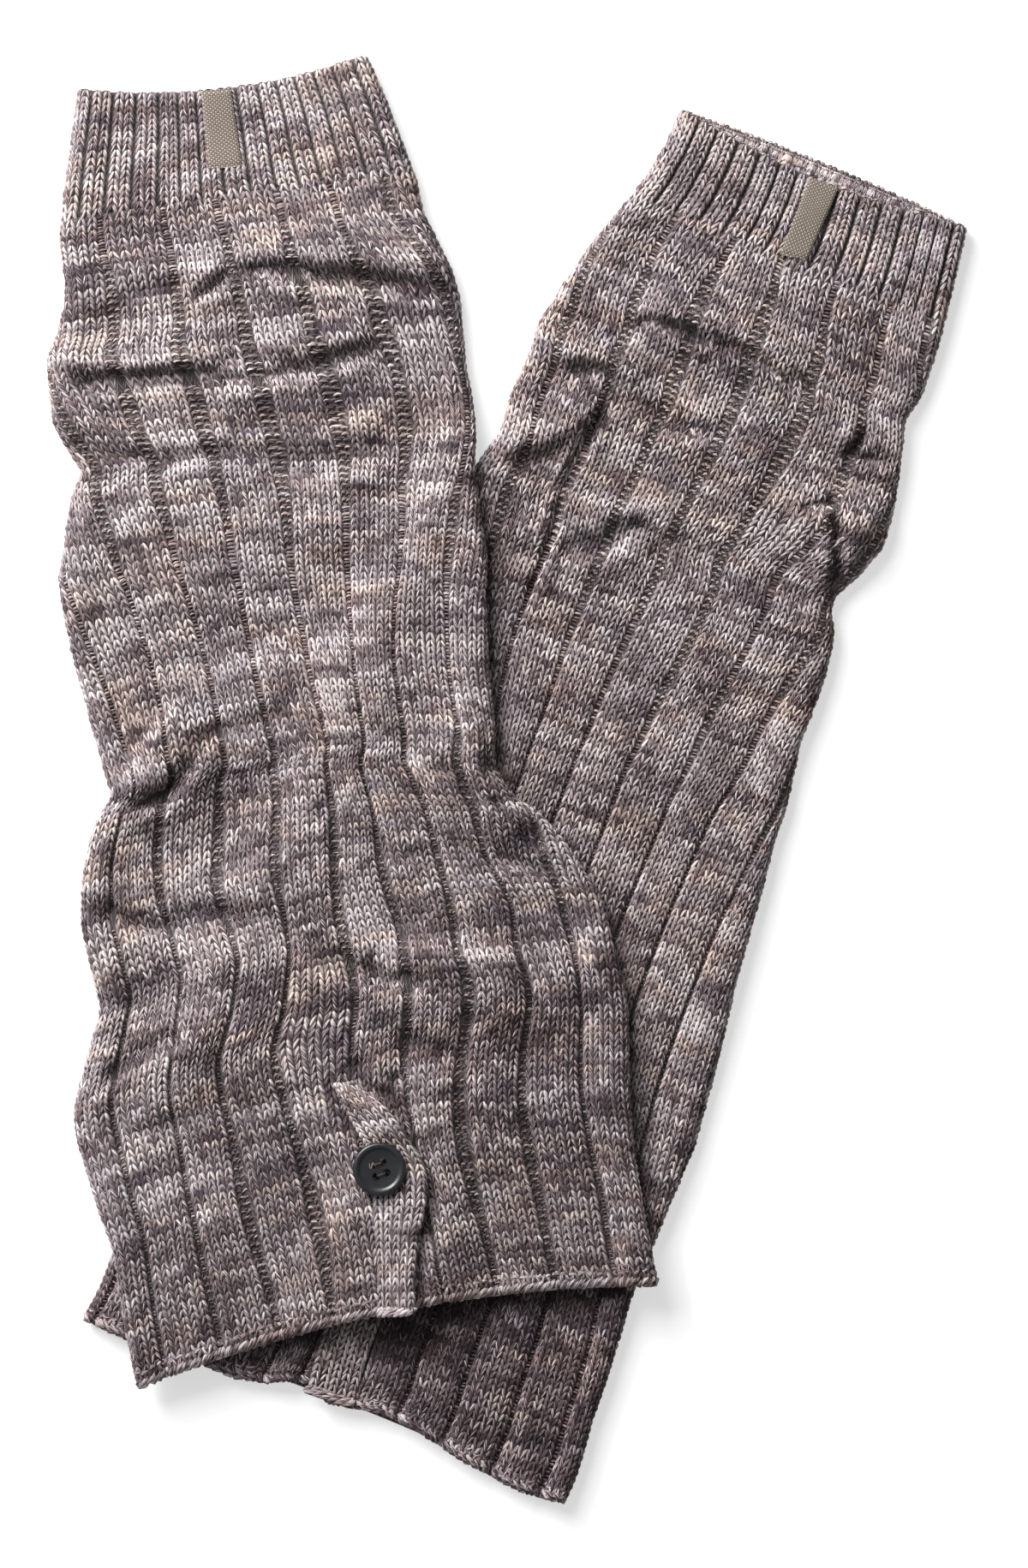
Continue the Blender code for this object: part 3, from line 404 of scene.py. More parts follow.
def chain_distance(points, x, y):
    """Distance to a chain of points, the side on which (x, y) lies, and where along it."""
    pts = np.asarray(points, float)
    best = np.full(np.shape(x), 1e9)
    side = np.zeros(np.shape(x))
    where = np.zeros(np.shape(x))
    n = len(pts) - 1
    for i in range(n):
        ax, ay = pts[i]
        bx, by = pts[i + 1]
        dx, dy = bx - ax, by - ay
        ll = dx * dx + dy * dy
        t = np.clip(((x - ax) * dx + (y - ay) * dy) / ll, 0, 1)
        d = np.hypot(x - ax - t * dx, y - ay - t * dy)
        s = dx * (y - ay) - dy * (x - ax)
        near = d < best
        best = np.where(near, d, best)
        side = np.where(near, s, side)
        where = np.where(near, (i + t) / n, where)
    return best, side, where


def bend_line(f):
    """Nine points of a curve from start over mid to end."""
    cx = 2 * f["mid_x"] - 0.5 * (f["start_x"] + f["end_x"])
    cy = 2 * f["mid_y"] - 0.5 * (f["start_y"] + f["end_y"])
    return [((1 - s) ** 2 * f["start_x"] + 2 * s * (1 - s) * cx + s * s * f["end_x"],
             (1 - s) ** 2 * f["start_y"] + 2 * s * (1 - s) * cy + s * s * f["end_y"])
            for s in np.linspace(0, 1, 9)]


def fold_height(folds, x, y):
    """Relief of a front panel: the highest of its ridges at each point."""
    out = np.zeros(np.shape(x))
    for row in folds:
        f = dict(zip(FOLD, row))
        d, side, where = chain_distance(bend_line(f), x, y)
        width = np.where(side > 0, f["cuff_side"], f["hem_side"])
        fade = 0.35 + 0.65 * smooth(0.0, 0.2, where) * smooth(1.0, 0.8, where)
        out = np.maximum(out, f["height"] * fade * np.exp(-(d / width) ** 2))
    return out


def crease_depth(creases, x, y):
    """Depth of the creases; negative where the cloth puffs up beside them."""
    down, up = np.zeros(np.shape(x)), np.zeros(np.shape(x))
    for row in creases:
        f = dict(zip(CREASE, row))
        d, _, where = chain_distance(bend_line(f), x, y)
        fade = smooth(0.0, 0.22, where) * smooth(1.0, 0.78, where)
        g = d / f["half"]
        down = np.maximum(down, CREASE_DOWN * f["depth"] * fade * np.exp(-g ** 2))
        up = np.maximum(up, CREASE_UP * f["depth"] * fade * np.exp(-((g - 2.1) / 1.5) ** 2))
    return down - up * np.clip(1 - down / 1.6, 0, 1)


def outline(sections):
    left = [(r[0], r[1]) for r in sections]
    right = [(r[2], r[3]) for r in sections]
    return left + right[::-1]


def inside_distance(polygon, x, y):
    """Distance to a closed outline, positive inside it."""
    ring = list(polygon) + [polygon[0]]
    d, _, _ = chain_distance(ring, x, y)
    odd = np.zeros(np.shape(x), bool)
    for (ax, ay), (bx, by) in zip(ring[:-1], ring[1:]):
        if ay == by:
            continue
        cross = ((ay > y) != (by > y)) & (x < (bx - ax) * (y - ay) / (by - ay) + ax)
        odd ^= cross
    return np.where(odd, d, -d)


def side_distances(sections, x, y):
    left, _, _ = chain_distance([(r[0], r[1]) for r in sections], x, y)
    right, _, _ = chain_distance([(r[2], r[3]) for r in sections], x, y)
    return left, right


def swell(depth):
    return SIDE_SWELL * np.exp(-((depth - 0.6 * SIDE_REACH) / (0.6 * SIDE_REACH)) ** 2)


def band_mask(band, x, y, reach):
    left = [(r[0], r[1]) for r in band]
    right = [(r[2], r[3]) for r in band]
    d = inside_distance(left + right[::-1], x, y)
    return smooth(-reach, -0.3 * reach, d)


def right_top(x, y):
    left, right = side_distances(RIGHT_SECTIONS, x, y)
    edge = smooth(0.0, 6.0, np.minimum(left, right))
    sides = np.maximum(swell(left) * smooth(PRESSED_Y, PRESSED_Y + 20.0, y), swell(right))
    return FLAT + sides + edge * fold_height(RIGHT_FOLDS, x, y)


def left_floor(x, y):
    """Underside of the left leg: the floor, or the right leg where that lies beneath."""
    d = inside_distance(outline(RIGHT_SECTIONS), x, y)
    rise = smooth(-DRAPE, -2.5, d)
    top = right_top(x, y) + REST_GAP
    top = top + (BAND_THICK + SEAM) * band_mask(RIGHT_BAND, x, y, 24.0)
    button = np.hypot(x - RIGHT_BUTTON[0], y - RIGHT_BUTTON[1])
    top = top + (BUTTON_THICK + SEAM) * smooth(BUTTON_RADIUS + 28.0, BUTTON_RADIUS + 7.0, button)
    return rise * top


def left_top(x, y, floor):
    left, right = side_distances(LEFT_SECTIONS, x, y)
    depth = np.minimum(left, right)
    edge = smooth(0.0, 6.0, depth)
    return floor + FLAT + swell(depth) + edge * fold_height(LEFT_FOLDS, x, y)


# ---- repeatable noise --------------------------------------------------------
def mix_hash(ix, iy, seed):
    """A number from 0 to 1 for each pair of whole numbers."""
    h = (np.asarray(ix, np.int64) * 374761393 + np.asarray(iy, np.int64) * 668265263
         + np.int64(seed) * 2147483647) & 0xFFFFFFFF
    h = ((h ^ (h >> 13)) * 1274126177) & 0xFFFFFFFF
    h = ((h ^ (h >> 16)) * 2246822519) & 0xFFFFFFFF
    h = h ^ (h >> 15)
    return (h & 0xFFFFFF) / float(0xFFFFFF)


def value_noise(x, y, seed, sharp=1.0):
    """Smooth noise from 0 to 1; a sharp over 1 makes patches with short borders."""
    x, y = np.asarray(x, float), np.asarray(y, float)
    ix, iy = np.floor(x), np.floor(y)
    fx = smooth(0.5 - 0.5 / sharp, 0.5 + 0.5 / sharp, x - ix)
    fy = smooth(0.5 - 0.5 / sharp, 0.5 + 0.5 / sharp, y - iy)
    a, b = mix_hash(ix, iy, seed), mix_hash(ix + 1, iy, seed)
    c, d = mix_hash(ix, iy + 1, seed), mix_hash(ix + 1, iy + 1, seed)
    return (a * (1 - fx) + b * fx) * (1 - fy) + (c * (1 - fx) + d * fx) * fy


def soften(a, sigma):
    """Gaussian smoothing of a row of numbers, STEP_V apart, ends kept."""
    n = int(3 * sigma / STEP_V) + 1
    k = np.exp(-0.5 * (np.arange(-n, n + 1) * STEP_V / sigma) ** 2)
    k /= k.sum()
    pad = np.concatenate([2 * a[0] - a[n:0:-1], a, 2 * a[-1] - a[-2:-n - 2:-1]])
    return np.convolve(pad, k, "valid")


def unit(v):
    return v / np.maximum(np.linalg.norm(v, axis=-1, keepdims=True), 1e-9)


class Leg:
    """The sampled outer surface of one leg: rows from cuff to hem, columns round the tube."""

    def __init__(self, name, sections, folds, creases, channels, cuff_turn, seed, right):
        self.creases = creases
        self.name, self.sections, self.seed, self.right = name, sections, seed, right
        self.cuff_turn = cuff_turn
        mid = [((r[0] + r[2]) / 2, (r[1] + r[3]) / 2) for r in sections]
        where = [0.0]
        for a, b in zip(mid[:-1], mid[1:]):
            where.append(where[-1] + math.hypot(b[0] - a[0], b[1] - a[1]))
        self.where, self.total = where, where[-1]
        self.cuff_v = where[CUFF_ROW] - CUFF_SHORT
        n = int(round(self.total / STEP_V)) + 1
        self.v = np.linspace(0.0, self.total, n)
        self.step = self.total / (n - 1)
        cols = [np.interp(self.v, where, [r[k] for r in sections]) for k in range(7)]
        lx, ly, rx, ry = [soften(c, 2.0) for c in cols[:4]]
        bow = soften(cols[4], 8.0)
        self.rl, self.rr = soften(cols[5], 9.0), soften(cols[6], 9.0)
        q = np.concatenate([np.linspace(0, 1, FRONT_COLUMNS),
                            np.linspace(1, 2, BACK_COLUMNS)[1:-1]])
        self.q = np.concatenate([q, [2.0]])
        wide = np.hypot(rx - lx, ry - ly)
        ex, ey = (rx - lx) / wide, (ry - ly) / wide
        front = q <= 1.0
        part = np.where(front, q, 2.0 - q)[None, :]
        w = wide[:, None]
        half_dev = ROUND_RHO * math.pi / 2 + (w / 2 - ROUND_RHO)
        d = np.minimum(part, 1 - part) * 2 * half_dev
        near = np.where(d < ROUND_RHO * math.pi / 2, ROUND_RHO * (1 - np.cos(d / ROUND_RHO)),
                        ROUND_RHO + d - ROUND_RHO * math.pi / 2)
        s = np.where(part <= 0.5, near, w - near)
        turn = 0.5 * (FLAT + 0.5 * SIDE_SWELL)

        def plan(s):
            u = s / w
            shift = bow[:, None] * 4 * u * (1 - u)
            if right:
                v = self.v[:, None]
                extra = (-MOUTH_DROP * np.sin(math.pi * u) * smooth(MOUTH_REACH, 0.0, v)
                         + np.interp(u, *zip(*RIGHT_HEM)) * smooth(self.total - UNDERLAP_REACH, self.total, v))
                shift = shift + extra * front[None, :]
            return (lx[:, None] + ex[:, None] * s - ey[:, None] * shift,
                    ly[:, None] + ey[:, None] * s + ex[:, None] * shift)

        x, y = plan(s)
        x0, y0 = plan(np.clip(s, turn, w - turn))
        if right:
            low = np.zeros(x.shape)
            high = right_top(x0, y0)
        else:
            low = left_floor(x0, y0)
            high = left_top(x0, y0, low)
        inset = np.minimum(s, w - s)
        ease = smooth(0.0, 10.0, inset)
        lump = (value_noise(x0 / 26.0, y0 / 22.0, seed + 71) - 0.5) * 1.5 \
            + (value_noise(x0 / 11.0, y0 / 9.0, seed + 72) - 0.5) * 0.55
        fuller = 0.40 * fold_height(folds, x0, y0)
        high = high + ease * (lump + fuller - (1.3 if right else 1.05) * crease_depth(creases, x0, y0)) * front[None, :]
        self.extra_top(x0, y0, high, front)
        # the two panels never press closer than their walls
        least = low + 2 * WALL + 0.25
        high = np.where(front[None, :], least + np.logaddexp(0.0, (high - least) / 0.35) * 0.35, high)
        half = 0.5 * (high - low)
        bend = np.sqrt(np.clip(1 - (1 - np.minimum(inset, turn) / turn) ** 2, 0.0, 1.0))
        z = low + half + np.where(front[None, :], half, -half) * bend
        self.P0 = np.stack([x, y, z], axis=-1)
        self.plan_fold = fold_height(folds, x0, y0) * front[None, :]
        self.N0 = self.normals(self.P0)
        # ribs: each channel lies a little beside its even place
        self.js = np.arange(-4, RIBS + 6)
        self.shift, self.half = np.zeros((2, len(self.js), n))
        for i, j in enumerate(self.js):
            rows = channels.get(j, channels.get(j - RIBS))
            drift = value_noise(j * 3.7, self.v / 38.0, seed + 5)
            self.half[i] = CLOSED * (0.85 + 0.5 * drift)
            if rows:
                at, aside, wide_ = zip(*rows)
                self.shift[i] = soften(np.interp(self.v, at, aside), 3.0)
                self.half[i] = soften(np.interp(self.v, at, wide_), 3.0)
        raw = self.even_rib(self.v[:, None] + 0 * q[None, :], q[None, :] + 0 * self.v[:, None])
        self.R = np.stack([np.interp(raw[i], self.js + self.shift[:, i], self.js) for i in range(n)])
        grid_v = self.v[:, None] + 0 * q[None, :]
        relief = self.rib_relief(self.R, grid_v)
        outward = np.where(front[None, :] | (z > 2.5), relief, np.minimum(relief, 0.0))
        self.P = self.P0 + self.N0 * outward[..., None]
        self.N = self.normals(self.P)
        self.K = self.wale_at(self.R, grid_v)
        # size of a rib and of a millimetre of v on the cloth
        du = np.linalg.norm(np.roll(self.P0, -1, 1) - np.roll(self.P0, 1, 1), axis=-1)
        dr = self.R[:, 2:] - self.R[:, :-2]
        self.rib_mm = np.empty(self.R.shape)
        self.rib_mm[:, 1:-1] = du[:, 1:-1] / np.maximum(dr, 1e-6)
        self.rib_mm[:, 0], self.rib_mm[:, -1] = self.rib_mm[:, 1], self.rib_mm[:, -2]
        self.v_mm = np.linalg.norm(np.gradient(self.P0, self.step, axis=0), axis=-1)

    def extra_top(self, x, y, high, front):
        """Relief that only this leg has, added to high in place."""
        if self.right:
            return
        d, side, where = chain_distance(LEFT_EDGE, x, y)
        sd = np.where(side > 0, -d, d)           # positive on the overlap
        along = smooth(0.0, 0.07, where)
        lift = 2.0 * smooth(-0.7, 0.5, sd) * np.exp(-(np.maximum(sd, 0) / 9.5) ** 2)
        groove = (2.6 + 1.6 * smooth(0.36, 0.26, where)) * np.exp(-((sd + 2.0) / 2.0) ** 2)
        high += (lift - groove) * along * front[None, :]
        pit = np.hypot(x + 37.5, (y + 113.0)) / 5.0
        high -= 3.2 * np.exp(-pit ** 2) * smooth(0.3, -0.6, sd) * front[None, :]
        head = np.hypot(x + 50.5, y + 100.0) / 3.6
        high -= 2.0 * np.exp(-head ** 2) * front[None, :]
        nook, _, _ = chain_distance(((-60.5, -109.5), (-57.6, -114.9), (-54.0, -121.5)), x, y)
        high -= 3.6 * np.exp(-(nook / 2.2) ** 2) * front[None, :]

    def nook(self, r, v):
        """Painted shade: how much darker the yarn is painted along the creases and in the recesses, the deep places
        that little light reaches.
        """
        P, _ = self.at(r, v)
        x, y = P[..., 0], P[..., 1]
        fold = np.zeros(np.shape(x))
        for row in self.creases:
            f = dict(zip(CREASE, row))
            g, _, where = chain_distance(bend_line(f), x, y)
            fade = smooth(0.0, 0.22, where) * smooth(1.0, 0.78, where)
            fold = np.maximum(fold, (0.11 if self.right else 0.06) * f["depth"] * fade * np.exp(-(g / (0.95 * f["half"])) ** 2))
        if self.right:
            # painted shade on the right leg's underlap by its hem, below the left leg's hem
            return fold + 0.22 * np.exp(-((x + 52.0) / 21.0) ** 2 - ((y + 198.0) / 13.0) ** 2)
        d, _, _ = chain_distance(LEFT_NOOK, x, y)
        e, _, _ = chain_distance(((-61.6, -107.5), (-60.4, -113.0), (-57.4, -118.5), (-54.0, -123.5)), x, y)
        return fold + 0.56 * np.exp(-(d / 3.0) ** 2) + 0.52 * np.exp(-(e / 2.4) ** 2)

    def normals(self, P):
        a = np.gradient(P, axis=0)
        b = np.roll(P, -1, 1) - np.roll(P, 1, 1)
        return unit(np.cross(b, a)) * -1.0

    def even_rib(self, v, q):
        rl, rr = np.interp(v, self.v, self.rl), np.interp(v, self.v, self.rr)
        return np.where(q <= 1, rl + (rr - rl) * q, rr + (RIBS - (rr - rl)) * (q - 1))

    def channel(self, table, j, v):
        """Entry of a channel's table at place v."""
        a = np.clip(np.asarray(j, int) - self.js[0], 0, len(self.js) - 1)
        i = np.clip(np.asarray(v, float) / self.step, 0, len(self.v) - 1.000001)
        i0 = i.astype(int)
        return table[a, i0] * (1 - (i - i0)) + table[a, i0 + 1] * (i - i0)

    def q_at(self, r, v):
        j = np.floor(r)
        f = r - j
        r = r + (1 - f) * self.channel(self.shift, j, v) + f * self.channel(self.shift, j + 1, v)
        rl, rr = np.interp(v, self.v, self.rl), np.interp(v, self.v, self.rr)
        r = np.where(r < rl, r + RIBS, r)
        r = np.where(r > rl + RIBS, r - RIBS, r)
        return np.where(r <= rr, (r - rl) / (rr - rl), 1 + (r - rr) / (RIBS - (rr - rl)))

    def floor_depth(self, d, v):
        """How far an open channel's floor lies under the ribs' flanks, and how open it is."""
        return 0.15 + 0.80 * smooth(150.0, 330.0, v), smooth(0.045, 0.085, d)

    def rib_relief(self, r, v):
        f = np.abs(r - np.round(r))
        d = self.channel(self.half, np.round(r), v)
        sink, open_ = self.floor_depth(d, v)
        round_ = 0.45 + 0.55 * smooth(140.0, 260.0, v)
        crown = (0.40 - 1.05 * np.abs((0.5 - f) / 0.5) ** 2.4) * round_
        deep = 1.15 + (sink - 1.15) * open_
        wide = 0.92 * d + 0.012
        if self.right:                           # drawn tighter towards the hem
            tight = smooth(370.0, 405.0, v)
            deep, wide = deep + 0.9 * tight, wide + 0.022 * tight
        body = crown - deep * np.exp(-(f / wide) ** (2 + 2 * open_))
        u = (r + self.cuff_turn) * CUFF_RIBS / RIBS
        g = np.abs(u - np.round(u))
        cuff = -(0.75 if self.right else 0.28) * np.exp(-(g / 0.075) ** 2) + 0.30 - (0.50 if self.right else 0.30) * (1 - g / 0.5) ** 2.2
        mix = smooth(self.cuff_v - 3.0, self.cuff_v + 5.0, v)
        return cuff * (1 - mix) + body * mix

    def wale_at(self, r, v):
        """Wale coordinate, wales centred on halves: in the leg the two purl ones meet on multiples
        of seven, in the cuff the purl one starts on multiples of three."""
        j = np.floor(r)
        f = r - j
        a, b = self.channel(self.half, j, v), self.channel(self.half, j + 1, v)
        body = np.where(f < a, f / a, np.where(f > 1 - b, 7 - (1 - f) / b, 1 + 5 * (f - a) / (1 - a - b)))
        u = (r + self.cuff_turn) * CUFF_RIBS / RIBS
        h = np.floor(u)
        g, c = u - h, CUFF_PURL
        cuff = 3 * h + 0.5 + np.where(g < c, 0.5 * g / c, np.where(g > 1 - c, 3 - 0.5 * (1 - g) / c,
                                      0.5 + 2 * (g - c) / (1 - 2 * c)))
        return np.where(v < self.cuff_v, cuff, j * 7 + body)

    def rib_of_wale(self, k, v):
        """The other way round: where a wale runs, in ribs."""
        k, v = np.asarray(k, float), np.asarray(v, float)
        j = np.floor(k / 7)
        m = k - 7 * j
        a, b = self.channel(self.half, j, v), self.channel(self.half, j + 1, v)
        body = j + np.where(m < 1, m * a, np.where(m > 6, 1 - (7 - m) * b, a + (1 - a - b) * (m - 1) / 5))
        h = np.floor((k - 0.5) / 3)
        n, c = k - 0.5 - 3 * h, CUFF_PURL
        u = h + np.where(n < 0.5, 2 * n * c, np.where(n > 2.5, 1 - 2 * (3 - n) * c, c + (1 - 2 * c) * (n - 0.5) / 2))
        return np.where(v < self.cuff_v, u * RIBS / CUFF_RIBS - self.cuff_turn, body)

    def index(self, r, v):
        i = np.clip(v / self.step, 0, len(self.v) - 1.000001)
        c = np.interp(self.q_at(r, np.clip(v, 0, self.total)), self.q, np.arange(len(self.q)))
        return i, c

    def pick(self, A, i, c):
        i0, c0 = np.floor(i).astype(int), np.floor(c).astype(int)
        fi, fc = i - i0, c - c0
        i1 = np.minimum(i0 + 1, A.shape[0] - 1)
        m = A.shape[1]
        c1, c0 = (c0 + 1) % m, c0 % m
        if A.ndim == 3:
            fi, fc = fi[..., None], fc[..., None]
        return (A[i0, c0] * (1 - fi) + A[i1, c0] * fi) * (1 - fc) + (A[i0, c1] * (1 - fi) + A[i1, c1] * fi) * fc

    def look(self, A, r, v):
        return self.pick(A, *self.index(r, v))

    def at(self, r, v, inner=False):
        """Point and outward normal at rib r and place v, carried round the edge past either end."""
        lo, hi = EDGE_ROUND, self.total - EDGE_ROUND
        vc = np.clip(v, lo, hi)
        i, c = self.index(r, vc)
        P, N = self.pick(self.P, i, c), unit(self.pick(self.N, i, c))
        if inner:
            return P - N * WALL, -N
        over = np.where(v < lo, lo - v, np.where(v > hi, v - hi, 0.0))
        if np.any(over > 0):
            i2, c2 = self.index(r, vc + 1.0)
            i3, c3 = self.index(r, vc - 1.0)
            T = unit(self.pick(self.P0, i2, c2) - self.pick(self.P0, i3, c3))
            T = np.where((v < lo)[..., None], -T, T)
            phi = np.minimum(over / EDGE_ROUND, math.pi)[..., None]
            centre = P - N * EDGE_ROUND
            N2 = unit(N * np.cos(phi) + T * np.sin(phi))
            out = (over > 0)[..., None]
            P = np.where(out, centre + N2 * EDGE_ROUND, P)
            N = np.where(out, N2, N)
        return P, N

    def skin(self, r, v, lift):
        """Point and normal a little over the leg, bridging its ribs, carried round either end."""
        lo, hi = EDGE_ROUND, self.total - EDGE_ROUND
        i, c = self.index(r, np.clip(v, lo, hi))
        P, N = self.pick(self.P0, i, c), unit(self.pick(self.N0, i, c))
        over = np.where(v < lo, lo - v, np.where(v > hi, v - hi, 0.0))[..., None]
        a, b = self.index(r, np.clip(v, lo, hi) + 1.0), self.index(r, np.clip(v, lo, hi) - 1.0)
        T = unit(self.pick(self.P0, *a) - self.pick(self.P0, *b)) * np.where(v < lo, -1.0, 1.0)[..., None]
        radius = EDGE_ROUND + lift
        phi = np.minimum(over / radius, math.pi)
        past = np.maximum(over - math.pi * radius, 0.0)
        N2 = unit(N * np.cos(phi) + T * np.sin(phi))
        return P - N * EDGE_ROUND + N2 * radius - T * past, N2

    def find(self, x, y):
        """Rib and place of points of the front, given from above."""
        if not hasattr(self, "tree"):
            n = len(self.v)
            self.tree = KDTree(n * FRONT_COLUMNS)
            for k, q in enumerate(self.P0[:, :FRONT_COLUMNS].reshape(-1, 3)):
                self.tree.insert((q[0], q[1], 0.0), k)
            self.tree.balance()
        r, v = [], []
        for px, py in zip(np.ravel(x), np.ravel(y)):
            near = self.tree.find_n((px, py, 0.0), 4)
            w = np.array([1.0 / (0.05 + d) for _, _, d in near])
            rows = np.array([k // FRONT_COLUMNS for _, k, _ in near])
            cols = np.array([k % FRONT_COLUMNS for _, k, _ in near])
            r.append((self.R[rows, cols] * w).sum() / w.sum())
            v.append((self.v[rows] * w).sum() / w.sum())
        return np.array(r).reshape(np.shape(x)), np.array(v).reshape(np.shape(x))

    # courses: whole numbers from the cuff's mouth down
    def course_of(self, v):
        c = self.cuff_v / COURSE_CUFF
        return np.where(v < self.cuff_v, v / COURSE_CUFF, c + (v - self.cuff_v) / COURSE)

    def v_of(self, course):
        c = self.cuff_v / COURSE_CUFF
        return np.where(course < c, course * COURSE_CUFF, self.cuff_v + (course - c) * COURSE)

    def dye_and_shade(self, k, course):
        """Tone from 0 dark to 1 light, and warmth, of the yarn at wale k of a course, with painted light and shade
        added by place along the leg.
        """
        s = self.seed
        rib = np.floor(k / WALES)
        shift = 7 * mix_hash(rib, 0, s + 1)
        brick = value_noise(rib, (course + shift) / 2.6, s + 2, 1.8)
        rows = value_noise(k / 5.5 + 1.7 * course, course / 1.15, s + 8, 1.5)
        patch = value_noise(k / 3.6 + 0.35 * course, course / 2.1, s + 3, 1.4)
        slow = value_noise(k / 30.0, course / 17.0, s + 9)
        t = DYE_BRICK * brick + DYE_ROWS * rows + DYE_PATCH * patch + 0.05 * slow
        spread = DYE_SPREAD * (0.96 if self.right else 1.28)
        t = (t / (DYE_BRICK + DYE_ROWS + DYE_PATCH + 0.05) - 0.50) * spread + DYE_MEAN
        # painted light and shade: lighter or darker by place along the leg
        t = t + np.interp(self.v_of(course), *zip(*(RIGHT_PAINTED_SHADING if self.right else LEFT_PAINTED_SHADING)))
        t = np.where(course < self.cuff_v / COURSE_CUFF, DYE_MEAN + 0.05 + (t - DYE_MEAN) * 0.80, t)
        warm = value_noise(k / 5.0, course / 2.0, s + 7)
        return np.clip(t, 0.0, 1.0), warm

    def waver(self, k, v):
        """How far a course strays from its even place, in millimetres."""
        s = self.seed
        return ((value_noise(k / 6.0, v / 21.0, s + 51) - 0.5) * 2.4 + (value_noise(k / 2.4, v / 8.0, s + 52) - 0.5) * 0.9) \
            * smooth(0.0, 9.0, v) * smooth(self.total, self.total - 9.0, v)


# ---- meshes ------------------------------------------------------------------
def make(name, points, quads, mat, uvs=None, attrs=None):
    """A smooth-shaded mesh of quads, in millimetres, with UV maps per corner."""
    mesh = bpy.data.meshes.new(name)
    mesh.vertices.add(len(points))
    mesh.vertices.foreach_set("co", (points * MM).astype(np.float32).ravel())
    mesh.loops.add(quads.size)
    mesh.loops.foreach_set("vertex_index", quads.astype(np.int32).ravel())
    mesh.polygons.add(len(quads))
    mesh.polygons.foreach_set("loop_start", np.arange(0, quads.size, 4, dtype=np.int32))
    mesh.update(calc_edges=True)
    mesh.polygons.foreach_set("use_smooth", np.ones(len(quads), bool))
    for key, uv in (uvs or {}).items():
        layer = mesh.uv_layers.new(name=key)
        layer.data.foreach_set("uv", uv.astype(np.float32).ravel())
    for key, (kind, data) in (attrs or {}).items():
        a = mesh.attributes.new(key, kind, "POINT")
        a.data.foreach_set("vector" if kind == "FLOAT_VECTOR" else "value", data.astype(np.float32).ravel())
    mesh.validate()
    mesh.update()
    obj = bpy.data.objects.new(name, mesh)
    bpy.context.scene.collection.objects.link(obj)
    obj.data.materials.append(mat)
    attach(obj, "root")
    return obj


LONG = np.array([0.0, 0.14, 0.42, 0.75, 1.0])
ACROSS = np.array([-1.0, 0.0, 1.0])
# height and width along a stitch leg, from its point by the cuff to its tucked end
LEG_HEIGHT = np.array([-0.35, 0.60, 1.0, 0.72, -0.40])
LEG_WIDTH = np.array([0.35, 0.78, 1.0, 0.88, 0.40])
BUMP_HEIGHT = np.array([-0.35, 0.55, 1.0, 0.65, -0.35])
BUMP_WIDTH = np.array([0.5, 0.85, 1.0, 0.85, 0.5])
CHAIN_HEIGHT = np.array([-0.10, 0.70, 1.0, 0.85, 0.10])
CHAIN_WIDTH = np.array([0.45, 0.90, 1.0, 0.85, 0.40])


